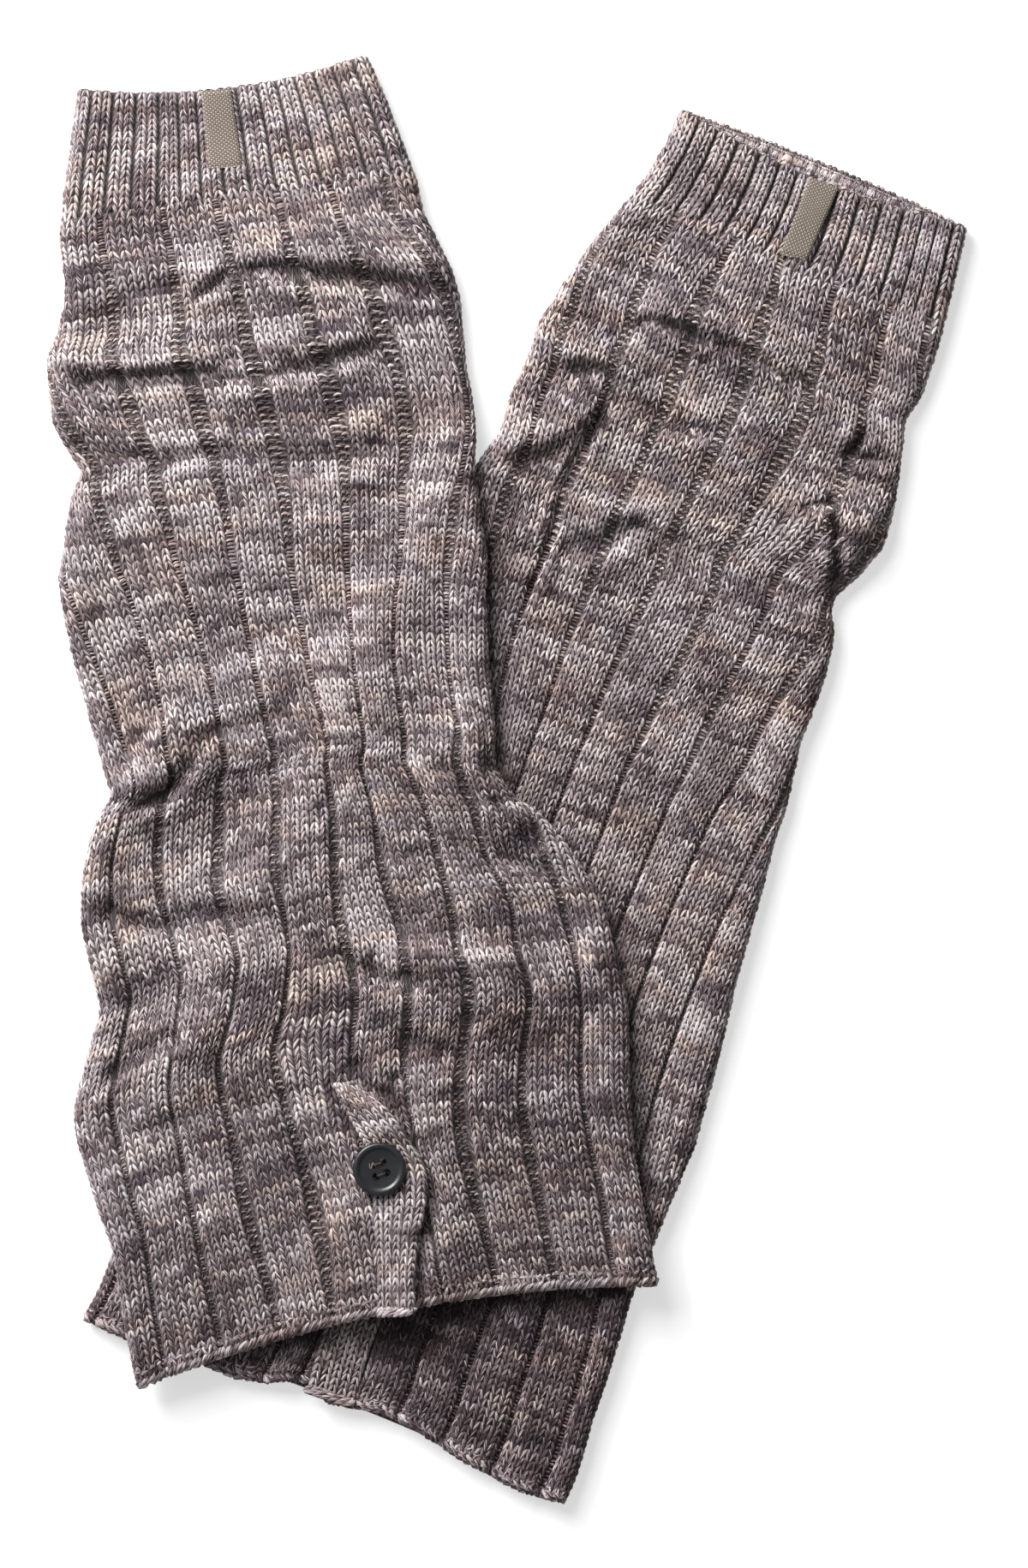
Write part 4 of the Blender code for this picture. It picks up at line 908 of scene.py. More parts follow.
class Strands:
    """Many short lengths of yarn, each an arched strip, joined in one mesh."""

    def __init__(self):
        self.points, self.yarn, self.dye_and_shade = [], [], []

    def add(self, place, r0, v0, r1, v1, half, high, tone, warm, rnd, arc=0.0, edge=STITCH_EDGE,
            scale=None, profile=(LEG_HEIGHT, LEG_WIDTH)):
        """Strips from (r0, v0) to (r1, v1) on a surface; place gives point and normal, scale the
        millimetres to a unit of r and of v there."""
        t = LONG[None, :, None]
        a = ACROSS[None, None, :]
        col = lambda x: np.asarray(x, float).reshape(-1, 1, 1) if np.ndim(x) else float(x)
        r0, v0, r1, v1, half, high, arc = map(col, (r0, v0, r1, v1, half, high, arc))
        sr, sv = col(scale[0]), col(scale[1])
        dx, dy = (r1 - r0) * sr, (v1 - v0) * sv
        ln = np.sqrt(dx * dx + dy * dy)
        nx, ny = -dy / ln, dx / ln
        swellt = np.sin(math.pi * t)
        w = half * profile[1][None, :, None] * a + arc * swellt
        r = r0 + (r1 - r0) * t + nx * w / sr
        v = v0 + (v1 - v0) * t + ny * w / sv
        P, N = place(r, v)
        h = high * profile[0][None, :, None] - edge * a * a * (0.5 + 0.5 * swellt)
        n = r.shape[0]
        self.points.append((P + N * h[..., None]).reshape(n, -1, 3))
        ones = np.ones((n, len(LONG), len(ACROSS)))
        rnd = col(rnd)
        self.yarn.append(np.stack([a * ones, t * ln * ones, rnd * ones], -1).reshape(n, -1, 3))
        self.dye_and_shade.append(np.stack([col(tone) * ones, col(warm) * ones, 0 * ones], -1).reshape(n, -1, 3))

    def build(self, name, mat):
        pts, yarn, dye_and_shade = (np.concatenate(x) for x in (self.points, self.yarn, self.dye_and_shade))
        n, m = pts.shape[:2]
        L, A = len(LONG), len(ACROSS)
        one = [[i * A + k, i * A + k + 1, (i + 1) * A + k + 1, (i + 1) * A + k]
               for i in range(L - 1) for k in range(A - 1)]
        one = np.array(one)
        quads = (np.arange(n)[:, None, None] * m + one[None]).reshape(-1, 4)
        # each strip has a cell of its own on the bake's map
        side = int(math.ceil(math.sqrt(n)))
        cell = 1.0 / side
        cx, cy = np.arange(n) % side, np.arange(n) // side
        lu = (np.repeat(ACROSS[None, :], L, 0).ravel() * 0.40 + 0.5)
        lv = (np.repeat(LONG[:, None], A, 1).ravel() * 0.84 + 0.08)
        u = (cx[:, None] + lu[None]) * cell
        v = (cy[:, None] + lv[None]) * cell
        uv = np.stack([u, v], -1).reshape(-1, 2)[quads.ravel()]
        pts = pts.reshape(-1, 3)
        # faces up: check one strip's winding against its crown
        f = quads[0]
        nrm = np.cross(pts[f[1]] - pts[f[0]], pts[f[3]] - pts[f[0]])
        if nrm[2] < 0:
            quads = quads[:, ::-1]
            uv = np.stack([u, v], -1).reshape(-1, 2)[quads.ravel()]
        return make(name, pts, quads, mat, {"OFBake": uv},
                    {"yarn": ("FLOAT_VECTOR", yarn.reshape(-1, 3)), "dye_and_shade": ("FLOAT_VECTOR", dye_and_shade.reshape(-1, 3))})

    def count(self):
        return sum(len(p) for p in self.points)


# ---- materials ---------------------------------------------------------------
def srgb(r, g, b):
    lin = []
    for c in (r, g, b):
        c = c / 255.0
        lin.append(c / 12.92 if c <= 0.04045 else ((c + 0.055) / 1.055) ** 2.4)
    return (*lin, 1.0)


PALETTE = (
    (0.00, (41, 28, 35)),
    (0.20, (65, 49, 58)),
    (0.40, (99, 83, 89)),
    (0.58, (143, 128, 128)),
    (0.76, (181, 170, 168)),
    (1.00, (206, 197, 195)),
)


class Nodes:
    """Short hand for building a material's nodes."""

    def __init__(self, name):
        self.mat = bpy.data.materials.new(name)
        self.mat.use_nodes = True
        self.tree = self.mat.node_tree
        self.bsdf = self.tree.nodes["Principled BSDF"]

    def node(self, kind, **settings):
        n = self.tree.nodes.new(kind)
        for k, v in settings.items():
            setattr(n, k, v)
        return n

    def put(self, value, socket):
        if hasattr(value, "is_linked"):
            self.tree.links.new(value, socket)
        else:
            socket.default_value = value

    def math(self, op, a, b=None, c=None, clamp=False):
        n = self.node("ShaderNodeMath", operation=op, use_clamp=clamp)
        for i, x in enumerate((a, b, c)):
            if x is not None:
                self.put(x, n.inputs[i])
        return n.outputs[0]

    def ramp01(self, x, lo, hi):
        n = self.node("ShaderNodeMapRange", interpolation_type="SMOOTHSTEP")
        self.put(x, n.inputs[0])
        n.inputs[1].default_value, n.inputs[2].default_value = lo, hi
        return n.outputs[0]

    def mix(self, f, a, b):
        n = self.node("ShaderNodeMix", data_type="RGBA")
        self.put(f, n.inputs[0])
        self.put(a, n.inputs[6])
        self.put(b, n.inputs[7])
        return n.outputs[2]

    def multiply(self, f, a, b):
        n = self.node("ShaderNodeMix", data_type="RGBA", blend_type="MULTIPLY")
        self.put(f, n.inputs[0])
        self.put(a, n.inputs[6])
        self.put(b, n.inputs[7])
        return n.outputs[2]

    def vector(self, x, y, z):
        n = self.node("ShaderNodeCombineXYZ")
        for i, s in enumerate((x, y, z)):
            self.put(s, n.inputs[i])
        return n.outputs[0]

    def split(self, v):
        n = self.node("ShaderNodeSeparateXYZ")
        self.put(v, n.inputs[0])
        return n.outputs

    def noise(self, vec, scale, detail=1.0, rough=0.5):
        n = self.node("ShaderNodeTexNoise")
        self.put(vec, n.inputs["Vector"])
        n.inputs["Scale"].default_value = scale
        n.inputs["Detail"].default_value = detail
        n.inputs["Roughness"].default_value = rough
        return n.outputs[0]

    def attribute(self, name):
        return self.node("ShaderNodeAttribute", attribute_name=name).outputs["Vector"]

    def bump(self, height, distance, strength=1.0, normal=None):
        n = self.node("ShaderNodeBump")
        n.inputs["Strength"].default_value = strength
        n.inputs["Distance"].default_value = distance
        self.put(height, n.inputs["Height"])
        if normal is not None:
            self.put(normal, n.inputs["Normal"])
        return n.outputs[0]

    def shades(self, x, stops=PALETTE):
        n = self.node("ShaderNodeValToRGB")
        self.put(x, n.inputs[0])
        e = n.color_ramp.elements
        e[0].position, e[0].color = stops[0][0], srgb(*stops[0][1])
        e[1].position, e[1].color = stops[-1][0], srgb(*stops[-1][1])
        for pos, c in stops[1:-1]:
            k = e.new(pos)
            k.color = srgb(*c)
        return n.outputs[0]

    def cloth(self, sheen=0.25):
        b = self.bsdf
        b.inputs["Roughness"].default_value = 0.86
        b.inputs["Specular IOR Level"].default_value = 0.25
        b.inputs["Sheen Weight"].default_value = sheen
        b.inputs["Sheen Roughness"].default_value = 0.45
        b.inputs["Sheen Tint"].default_value = srgb(235, 226, 224)


def yarn_material(name, dark):
    """Marled yarn: plies of several shades twisted together, on strips that carry their own coordinates."""
    m = Nodes(name)
    a, l, rnd = m.split(m.attribute("yarn"))
    tone, warm, _ = m.split(m.attribute("dye_and_shade"))
    twist = m.math("ADD", m.math("MULTIPLY", a, 1.9), m.math("MULTIPLY", l, 0.42))
    seed = m.math("MULTIPLY", rnd, 97.0)
    ply = m.noise(m.vector(twist, m.math("MULTIPLY", l, 0.12), seed), 1.0, 1.0, 0.5)
    hair = m.noise(m.vector(m.math("MULTIPLY", twist, 3.1), m.math("MULTIPLY", l, 0.22), m.math("ADD", seed, 11.0)), 1.0, 1.0, 0.5)
    x = m.math("ADD", m.math("MULTIPLY", m.math("SUBTRACT", ply, 0.5), 1.6), m.math("MULTIPLY_ADD", tone, 0.86, 0.03))
    x = m.math("ADD", x, m.math("MULTIPLY", m.math("SUBTRACT", hair, 0.5), 2.3))
    base = m.shades(x)
    cool = m.noise(m.vector(m.math("MULTIPLY", twist, 0.8), l, m.math("ADD", seed, 31.0)), 0.9, 0.0)
    hue = m.math("ADD", warm, m.math("MULTIPLY", m.math("SUBTRACT", cool, 0.5), 0.5))
    warm_f = m.math("MULTIPLY", m.ramp01(hue, 0.50, 0.95), 0.48)
    cool_f = m.math("MULTIPLY", m.ramp01(hue, 0.48, 0.10), 0.55)
    base = m.multiply(warm_f, base, srgb(255, 232, 208))
    base = m.multiply(cool_f, base, srgb(222, 226, 240))
    fibre = m.noise(m.vector(m.math("MULTIPLY", a, 2.2), m.math("MULTIPLY", l, 1.4), seed), 2.2, 2.0, 0.6)
    shade = m.math("MULTIPLY_ADD", fibre, 0.5, 0.75)
    # painted shade: each strip is darker towards its edges
    edge = m.math("SUBTRACT", 1.0, m.math("MULTIPLY", m.math("POWER", m.math("ABSOLUTE", a), 3.0), 0.60))
    value = m.math("MULTIPLY", m.math("MULTIPLY", shade, edge), dark)
    n = m.node("ShaderNodeVectorMath", operation="SCALE")
    m.put(base, n.inputs[0])
    m.put(value, n.inputs["Scale"])
    m.put(n.outputs[0], m.bsdf.inputs["Base Color"])
    h = m.math("ADD", m.math("MULTIPLY", ply, 1.0), m.math("MULTIPLY", fibre, 0.5))
    m.put(m.bump(h, 0.00035, 0.9), m.bsdf.inputs["Normal"])
    m.cloth()
    return m.mat


def ground_material(name):
    """Knit drawn on the ground cloth from wale and course: stitches, purl channels and the reverse side."""
    m = Nodes(name)
    uv = m.node("ShaderNodeUVMap", uv_map="knit").outputs[0]
    k, c, _ = m.split(uv)
    tone, warm, under = m.split(m.attribute("dye_and_shade"))
    inner, cuff, _ = m.split(m.attribute("kind"))
    x = m.math("SUBTRACT", m.math("FRACT", k), 0.5)
    ax = m.math("ABSOLUTE", x)
    y = m.math("MULTIPLY_ADD", ax, -3.0, c)
    f = m.math("FRACT", y)
    band = m.math("SINE", m.math("MULTIPLY", f, math.pi))
    ends = m.math("MULTIPLY", m.ramp01(ax, 0.0, 0.09), m.ramp01(ax, 0.5, 0.45))
    vee = m.math("MULTIPLY", m.math("POWER", band, 0.7), ends)
    # purl: two wales that meet on a multiple of seven, or in the cuff one in three
    p7 = m.math("MULTIPLY", m.math("ABSOLUTE", m.math("SUBTRACT", m.math("FRACT", m.math("MULTIPLY_ADD", k, 1 / 7, 0.5)), 0.5)), 3.5)
    p3 = m.math("MULTIPLY", m.math("ABSOLUTE", m.math("SUBTRACT", m.math("FRACT", m.math("MULTIPLY_ADD", k, 1 / 3, 0.5 - 1 / 6)), 0.5)), 3.0)
    pd = m.math("ADD", m.math("MULTIPLY", p7, m.math("SUBTRACT", 1.0, cuff)), m.math("MULTIPLY", p3, cuff))
    purl = m.math("LESS_THAN", pd, 0.5)
    purl = m.math("ADD", m.math("MULTIPLY", purl, m.math("SUBTRACT", 1.0, inner)), m.math("MULTIPLY", m.math("SUBTRACT", 1.0, purl), inner))
    wave = m.math("MULTIPLY", m.math("COSINE", m.math("MULTIPLY", x, 2 * math.pi)), 0.30)
    f2 = m.math("FRACT", m.math("ADD", m.math("MULTIPLY", c, 1.0), wave))
    bumps = m.math("POWER", m.math("SINE", m.math("MULTIPLY", f2, math.pi)), 0.8)
    h = m.math("ADD", m.math("MULTIPLY", vee, m.math("SUBTRACT", 1.0, purl)), m.math("MULTIPLY", bumps, purl))
    cell = m.node("ShaderNodeTexWhiteNoise", noise_dimensions="3D")
    flat = m.math("ADD", c, wave)
    along = m.math("ADD", m.math("MULTIPLY", y, m.math("SUBTRACT", 1.0, purl)), m.math("MULTIPLY", flat, purl))
    m.put(m.vector(m.math("FLOOR", along), m.math("FLOOR", k), m.math("SIGN", x)), cell.inputs["Vector"])
    rnd = cell.outputs["Value"]
    seed = m.math("MULTIPLY", rnd, 61.0)
    streak = m.noise(m.vector(m.math("MULTIPLY", f, 2.6), m.math("MULTIPLY", ax, 2.2), seed), 1.0, 1.5, 0.55)
    t = m.math("ADD", m.math("MULTIPLY_ADD", tone, 0.80, 0.06),
               m.math("ADD", m.math("MULTIPLY", m.math("SUBTRACT", streak, 0.5), 2.3), m.math("MULTIPLY", m.math("SUBTRACT", rnd, 0.5), 0.18)))
    base = m.shades(t)
    base = m.multiply(m.math("MULTIPLY", m.ramp01(warm, 0.7, 1.0), 0.5), base, srgb(255, 232, 208))
    # painted shade: the drawn stitches darken into their hollows, the purl channels are painted darker, and the ground
    # is darkened where strands lie over it, in the gaps between them
    deep = m.math("MULTIPLY_ADD", h, 0.72, 0.28)
    deep = m.math("MULTIPLY", deep, m.math("MULTIPLY_ADD", m.ramp01(pd, 0.55, 0.10), -0.62, 1.0))
    deep = m.math("MULTIPLY", deep, m.math("SUBTRACT", 1.0, m.math("MULTIPLY", under, 0.62)))
    n = m.node("ShaderNodeVectorMath", operation="SCALE")
    m.put(base, n.inputs[0])
    m.put(deep, n.inputs["Scale"])
    m.put(n.outputs[0], m.bsdf.inputs["Base Color"])
    m.put(m.bump(h, 0.0007, 1.0), m.bsdf.inputs["Normal"])
    m.cloth()
    return m.mat


# ---- the ground cloth of a tube ----------------------------------------------
def ground(leg, name, v0, v1, mat, open_start, open_end, hidden):
    """Closed shell between two places along the leg: outer skin, rounded ends, inner skin."""
    lo = EDGE_ROUND if open_start else v0
    hi = leg.total - EDGE_ROUND if open_end else v1
    n_out = max(3, int(round((hi - lo) / 2.3)) + 1)
    n_in = max(3, int(round((hi - lo) / 9.0)) + 1)
    cols = np.concatenate([np.arange(0, FRONT_COLUMNS - 1, 1), np.arange(FRONT_COLUMNS - 1, len(leg.q) - 1, 2)])
    m = len(cols)
    rows_p, rows_v, rows_in = [], [], []
    vs = np.linspace(lo, hi, n_out)
    arc = np.linspace(0, math.pi, 5)
    i_col = cols.astype(float)

    def row(v, phi=0.0, sign=0.0, depth=0.0):
        i = np.full(m, min(v / leg.step, len(leg.v) - 1.000001))
        P, N = leg.pick(leg.P, i, i_col), unit(leg.pick(leg.N0, i, i_col))
        if depth:
            base = leg.pick(leg.P0, i, i_col)
            return base - N * (depth + 0.25)
        if sign:
            a = leg.pick(leg.P0, np.clip(i + 1, 0, len(leg.v) - 1.000001), i_col)
            b = leg.pick(leg.P0, np.clip(i - 1, 0, None), i_col)
            T = unit(a - b) * sign
            C = P - N * EDGE_ROUND
            return C + EDGE_ROUND * (N * math.cos(phi) + T * math.sin(phi))
        return P

    if open_start:
        for phi in arc[::-1][:-1]:
            rows_p.append(row(lo, phi, -1.0)); rows_v.append(lo - phi * EDGE_ROUND); rows_in.append(0.0)
    for v in vs:
        rows_p.append(row(v)); rows_v.append(v); rows_in.append(0.0)
    if open_end:
        for phi in arc[1:]:
            rows_p.append(row(hi, phi, 1.0)); rows_v.append(hi + phi * EDGE_ROUND); rows_in.append(0.0)
    start_in = lo + (0.5 if open_start else 0.0)
    end_in = hi - (0.5 if open_end else 0.0)
    vin = np.linspace(end_in, start_in, n_in)
    if open_end or open_start:      # finer by an open edge, where the inside is seen
        extra = [v for e, on in ((end_in, open_end), (start_in, open_start)) if on
                 for v in (e - 2.5 * np.arange(1, 6) if e > 0.5 * (hi + lo) else e + 2.5 * np.arange(1, 6))]
        vin = np.unique(np.concatenate([vin, extra]))[::-1]
        vin = vin[(vin <= end_in) & (vin >= start_in)]
    for v in vin:
        rows_p.append(row(v, depth=WALL)); rows_v.append(v); rows_in.append(1.0)
    P = np.stack(rows_p)
    V = np.array(rows_v)
    inner = np.array(rows_in)
    n = len(P)
    idx = np.arange(n * m).reshape(n, m)
    up, dn = idx, np.roll(idx, -1, 0)
    quads = np.stack([up, np.roll(up, -1, 1), np.roll(dn, -1, 1), dn], -1).reshape(-1, 4)
    # knit coordinates per corner, running on past the seam
    vc = np.clip(V, 0, leg.total)
    i = vc / leg.step
    turn = np.where(leg.v < leg.cuff_v, 3 * CUFF_RIBS, WALES * RIBS)[:, None]
    Kg = np.concatenate([leg.K, leg.K[:, :1] + turn], 1)
    ii = np.clip(i, 0, len(leg.v) - 1.000001)
    i0 = np.floor(ii).astype(int)
    fi = (ii - i0)[:, None]
    near_cuff = leg.v < leg.cuff_v
    # rows are not blended across the change of stitch at the cuff
    same = (near_cuff[i0] == near_cuff[np.minimum(i0 + 1, len(leg.v) - 1)])[:, None]
    Kr = np.where(same, Kg[i0] * (1 - fi) + Kg[np.minimum(i0 + 1, len(leg.v) - 1)] * fi, Kg[i0])
    ccols = np.concatenate([cols, [len(leg.q) - 1]])
    Kr = Kr[:, ccols]
    C = leg.course_of(np.clip(V, -9, leg.total + 9))
    kk = np.stack([Kr[:, :-1], Kr[:, 1:], np.roll(Kr, -1, 0)[:, 1:], np.roll(Kr, -1, 0)[:, :-1]], -1)
    cn = np.roll(C, -1)
    cc = np.stack([C, C, cn, cn], -1)[:, None, :] + 0 * kk
    knit = np.stack([kk, cc], -1)
    # bake map: the outer skin above, the inner one below
    qn = leg.q[ccols] / 2
    vv = np.linspace(0, 1, n + 1)
    bu = np.stack([qn[:-1], qn[1:], qn[1:], qn[:-1]], -1)[None] + 0 * kk
    bv = np.stack([vv[:-1], vv[:-1], vv[1:], vv[1:]], -1)[:, None, :] + 0 * kk
    bake = np.stack([bu, bv], -1)
    quads_keep = quads.reshape(n, m, 4)
    rr = leg.R[np.clip(np.round(i).astype(int), 0, len(leg.v) - 1)][:, cols]
    tone, warm = leg.dye_and_shade(Kr[:, :-1], C[:, None] + 0 * Kr[:, :-1])
    # where strands lie over the ground: the ground's material paints shade there, in the gaps between them
    under = hidden(rr, vc[:, None] + 0 * rr) * (1 - inner[:, None])
    dye_and_shade = np.stack([tone, warm, under], -1)
    kind = np.stack([inner[:, None] + 0 * rr, (vc < leg.cuff_v)[:, None] + 0 * rr, 0 * rr], -1)
    pts = P.reshape(-1, 3)
    obj = make(name, pts, quads_keep.reshape(-1, 4)[:, ::-1], mat,
               {"knit": knit.reshape(-1, 4, 2)[:, ::-1].reshape(-1, 2), "OFBake": bake.reshape(-1, 4, 2)[:, ::-1].reshape(-1, 2)},
               {"dye_and_shade": ("FLOAT_VECTOR", dye_and_shade.reshape(-1, 3)), "kind": ("FLOAT_VECTOR", kind.reshape(-1, 3))})
    # outward faces: a closed shell has a positive volume
    q4 = quads_keep.reshape(-1, 4)[:, ::-1]
    vol = 0.0
    for i, j in ((1, 2), (2, 3)):
        vol += (pts[q4[:, 0]] * np.cross(pts[q4[:, i]], pts[q4[:, j]])).sum()
    if vol < 0:
        obj.data.flip_normals()
    return obj


def knit_legs(leg, shown, c0, c1, s):
    """The knit stitches that show: two strands each, from one point by the cuff to either side."""
    lo, hi = int(math.floor(min(leg.rl) * 7)) - 9, int(math.ceil(max(leg.rr) * 7)) + 9
    K, C = (a.ravel() for a in np.meshgrid(np.arange(lo, hi + 1), np.arange(c0, c1)))
    v = leg.v_of(C + 0.5)
    cuff = v < leg.cuff_v
    knit = np.where(cuff, K % 3 != 0, (K % 7 != 0) & (K % 7 != 6))
    K, C, v, cuff = (a[knit] for a in (K, C, v, cuff))
    keep = shown(leg.rib_of_wale(K + 0.5, v), v)
    K, C, v, cuff = (a[keep] for a in (K, C, v, cuff))
    step = np.where(cuff, COURSE_CUFF, COURSE)
    wide = leg.rib_of_wale(K + 1.0, v) - leg.rib_of_wale(K + 0.0, v)
    stray = leg.waver(K + 0.5, v)
    for side in (-1, 1):
        h1, h2, h3, h4 = (mix_hash(K * 2 + side, C, leg.seed + q) for q in (21, 22, 23, 24))
        v0 = v + stray - step * (0.72 + 0.12 * (h1 - 0.5))
        v1 = v0 + step * (LEG_LONG + 0.16 * (h2 - 0.5))
        k0 = K + 0.5 + side * (0.06 + 0.05 * (h3 - 0.5))
        k1 = K + 0.5 + side * (0.46 + 0.05 * (h4 - 0.5))
        inside = np.clip(v, 0, leg.total)
        r0, r1 = leg.rib_of_wale(k0, inside), leg.rib_of_wale(k1, inside)
        sr = np.clip(leg.look(leg.rib_mm, (r0 + r1) / 2, v), 4.0, 40.0)
        sv = np.clip(leg.look(leg.v_mm, (r0 + r1) / 2, v), 0.7, 1.6)
        half = (LEG_HALF + LEG_WIDER * np.clip(wide * sr, 2.0, 5.2)) * (0.88 + 0.24 * h2)
        tone, warm = leg.dye_and_shade(K + 0.5 + 0.3 * side, C)
        # the tone is lowered by painted shade in creases and recesses
        tone = np.clip(tone + DYE_LEG * (h3 - 0.5) * np.where(cuff, 0.6, 1.0) - leg.nook(r0, inside), -0.25, 1)
        s.add(leg.at, r0, v0, r1, v1, half, STITCH_HIGH * (0.80 + 0.4 * h1), tone, warm, h4,
              arc=side * 0.06, scale=(sr, sv))


def purl_loops(leg, shown, c0, c1, s):
    """The purl channels: in an open one two heads and a loop to a course, in a closed one two short loops."""
    lo, hi = int(math.floor(min(leg.rl))) - 1, int(math.ceil(max(leg.rr))) + 1
    J, C = (a.ravel() for a in np.meshgrid(np.arange(lo, hi + 1), np.arange(c0, c1)))
    v = leg.v_of(C + 0.5)
    keep = (v > leg.cuff_v) & shown(J + 0.0, v)
    J, C, v = J[keep], C[keep], v[keep]
    if not len(J):
        return
    d = leg.channel(leg.half, J, v)
    sr = np.clip(leg.look(leg.rib_mm, J + 0.0, v), 4.0, 40.0)
    sv = np.clip(leg.look(leg.v_mm, J + 0.0, v), 0.7, 1.6)
    sink, open_ = leg.floor_depth(d, v)
    level = 0.65 * (0.45 + 0.55 * smooth(140.0, 260.0, v)) + sink
    wide = d * sr > 1.45
    drift = value_noise(J * 5.3, v / 13.0, leg.seed + 46)
    # painted shade: the loops are darker further down the leg, where the channels lie deep, and darker still in creases
    # and recesses
    painted_channel_shade = 0.03 + 0.11 * smooth(200.0, 270.0, v)
    deep = leg.nook(J + 0.0, np.clip(v, 0, leg.total))
    lean = (drift - 0.5) * 2.2
    v = v + leg.waver(J * 7.0, v)

    def floor_of(lower):
        def place(r, v):
            P, N = leg.skin(r, v, 0.0)
            return P - N * lower[:, None, None, None], N
        return place

    def lay(pick, a, b, drop, tilt, thick, high, lower, shade, arc, q):
        if not pick.any():
            return
        h1, h2 = (mix_hash(J * 5 + q, C, leg.seed + 41 + i)[pick] for i in (0, 1))
        tone, warm = leg.dye_and_shade(J * 7.0 + 0.4 * q, C + 0.5 * drop)
        r0, r1 = (J + a * d)[pick], (J + b * d)[pick]
        vv = (v + drop * COURSE)[pick] + 0.35 * (h1 - 0.5)
        tilt = (tilt + 0 * v)[pick] + 1.0 * (h2 - 0.5)
        s.add(floor_of((level + lower)[pick]), r0, vv + tilt / 2, r1, vv - tilt / 2, thick * (0.88 + 0.24 * h1), high,
              np.clip(0.60 * tone[pick] + 0.21 + shade - painted_channel_shade[pick] - 0.8 * deep[pick] + 0.42 * (h1 - 0.5), 0, 1), np.clip(warm[pick] + 0.30, 0, 1), h2,
              arc=arc * (0.5 + 1.0 * h1), edge=0.55, scale=(sr[pick], sv[pick]), profile=(BUMP_HEIGHT, BUMP_WIDTH))

    # painted shade: the loops that lie lower in a channel get a darker tone
    # open channels: two heads to a row and the loop between them under it
    bow = 0.34 + 0.30 * drift[wide]
    lay(wide, -1.14, 0.04, 0.0, 0.4 * lean, 0.50, 0.92, 0.02, 0.00, -bow, 0)
    lay(wide, -0.04, 1.14, 0.06, 0.4 * lean, 0.50, 0.92, 0.02, -0.02, -bow, 1)
    lay(wide, -0.66, 0.66, 0.5, -0.3 * lean, 0.47, 0.80, 0.12, -0.10, 0.9 * bow, 2)
    # closed ones
    narrow = ~wide
    lay(narrow, -1.55, 1.55, 0.0, 0.8 * lean, 0.50, 0.60, 0.0, -0.06, -0.25, 0)
    lay(narrow, -1.25, 1.25, 0.5, 0.6 * lean, 0.44, 0.50, 0.1, -0.12, -0.15, 1)


def lay_knit(leg, name, shown, splits, mat, pieces):
    """Builds the strands of a leg as pieces, split at the given courses."""
    last = int(leg.course_of(np.array(leg.total - 1.0)))
    bounds = [0] + splits + [last]
    for n, (a, b) in enumerate(zip(bounds[:-1], bounds[1:])):
        s = Strands()
        knit_legs(leg, shown, a, b, s)
        purl_loops(leg, shown, a, b, s)
        pieces.append(s.build("%s_%d" % (name, n + 1), mat))


# ---- strips, tapes and buttons -------------------------------------------------
class Patch:
    """A grid of points with axes a (across) and s (along), read between its points."""

    def __init__(self, a, s, P, flip=False):
        self.a, self.s, self.P = np.asarray(a, float), np.asarray(s, float), P
        da = np.gradient(P, axis=1)
        ds = np.gradient(P, axis=0)
        self.N = unit(np.cross(da, ds)) * (-1.0 if flip else 1.0)

    def at(self, a, s):
        c = np.interp(a, self.a, np.arange(len(self.a)))
        i = np.interp(s, self.s, np.arange(len(self.s)))
        c0, i0 = np.minimum(c.astype(int), len(self.a) - 2), np.minimum(i.astype(int), len(self.s) - 2)
        fc, fi = (c - c0)[..., None], (i - i0)[..., None]
        mixed = lambda A: ((A[i0, c0] * (1 - fi) + A[i0 + 1, c0] * fi) * (1 - fc)
                           + (A[i0, c0 + 1] * (1 - fi) + A[i0 + 1, c0 + 1] * fi) * fc)
        return mixed(self.P), unit(mixed(self.N))


def sweep(name, top, under, mat, knit_uv, dye_and_shade):
    """Closed shell between a grid of top points and one of under points of the same shape."""
    n, m = top.shape[:2]
    loop = np.concatenate([top, under[:, ::-1]], 1)
    k = 2 * m
    idx = np.arange(n * k).reshape(n, k)
    side = np.stack([idx[:-1], np.roll(idx, -1, 1)[:-1], np.roll(idx, -1, 1)[1:], idx[1:]], -1).reshape(-1, 4)
    j = np.arange(m - 1)
    cap = lambda row, turn: np.stack([row[j], row[k - 1 - j], row[k - 2 - j], row[j + 1]], -1)[:, ::turn]
    quads = np.concatenate([side, cap(idx[0], -1), cap(idx[-1], 1)])
    pts = loop.reshape(-1, 3)
    vol = 0.0
    for a, b in ((1, 2), (2, 3)):
        vol += (pts[quads[:, 0]] * np.cross(pts[quads[:, a]], pts[quads[:, b]])).sum()
    if vol < 0:
        quads = quads[:, ::-1]
    full = np.concatenate([knit_uv, knit_uv[:, ::-1]], 1).reshape(-1, 2)
    # bake map: top in the left half, under side in the right half
    gu = np.concatenate([np.linspace(0.01, 0.49, m), np.linspace(0.51, 0.99, m)])[None, :] + 0 * np.arange(n)[:, None]
    gv = np.linspace(0.01, 0.99, n)[:, None] + 0 * gu
    bake = np.stack([gu, gv], -1).reshape(-1, 2)
    attrs = {}
    if dye_and_shade is not None:
        both = np.concatenate([dye_and_shade, dye_and_shade[:, ::-1]], 1).reshape(-1, 3)
        attrs = {"dye_and_shade": ("FLOAT_VECTOR", both), "kind": ("FLOAT_VECTOR", 0 * both)}
    return make(name, pts, quads, mat, {"knit": full[quads.ravel()], "OFBake": bake[quads.ravel()]}, attrs)


BAND_WALES = 5
BAND_LOW = 0.55         # the band where it runs into the panel
BAND_HIGH = 2.1         # and along its free edge
BAND_TUCK = 1.1         # radius of the free edge


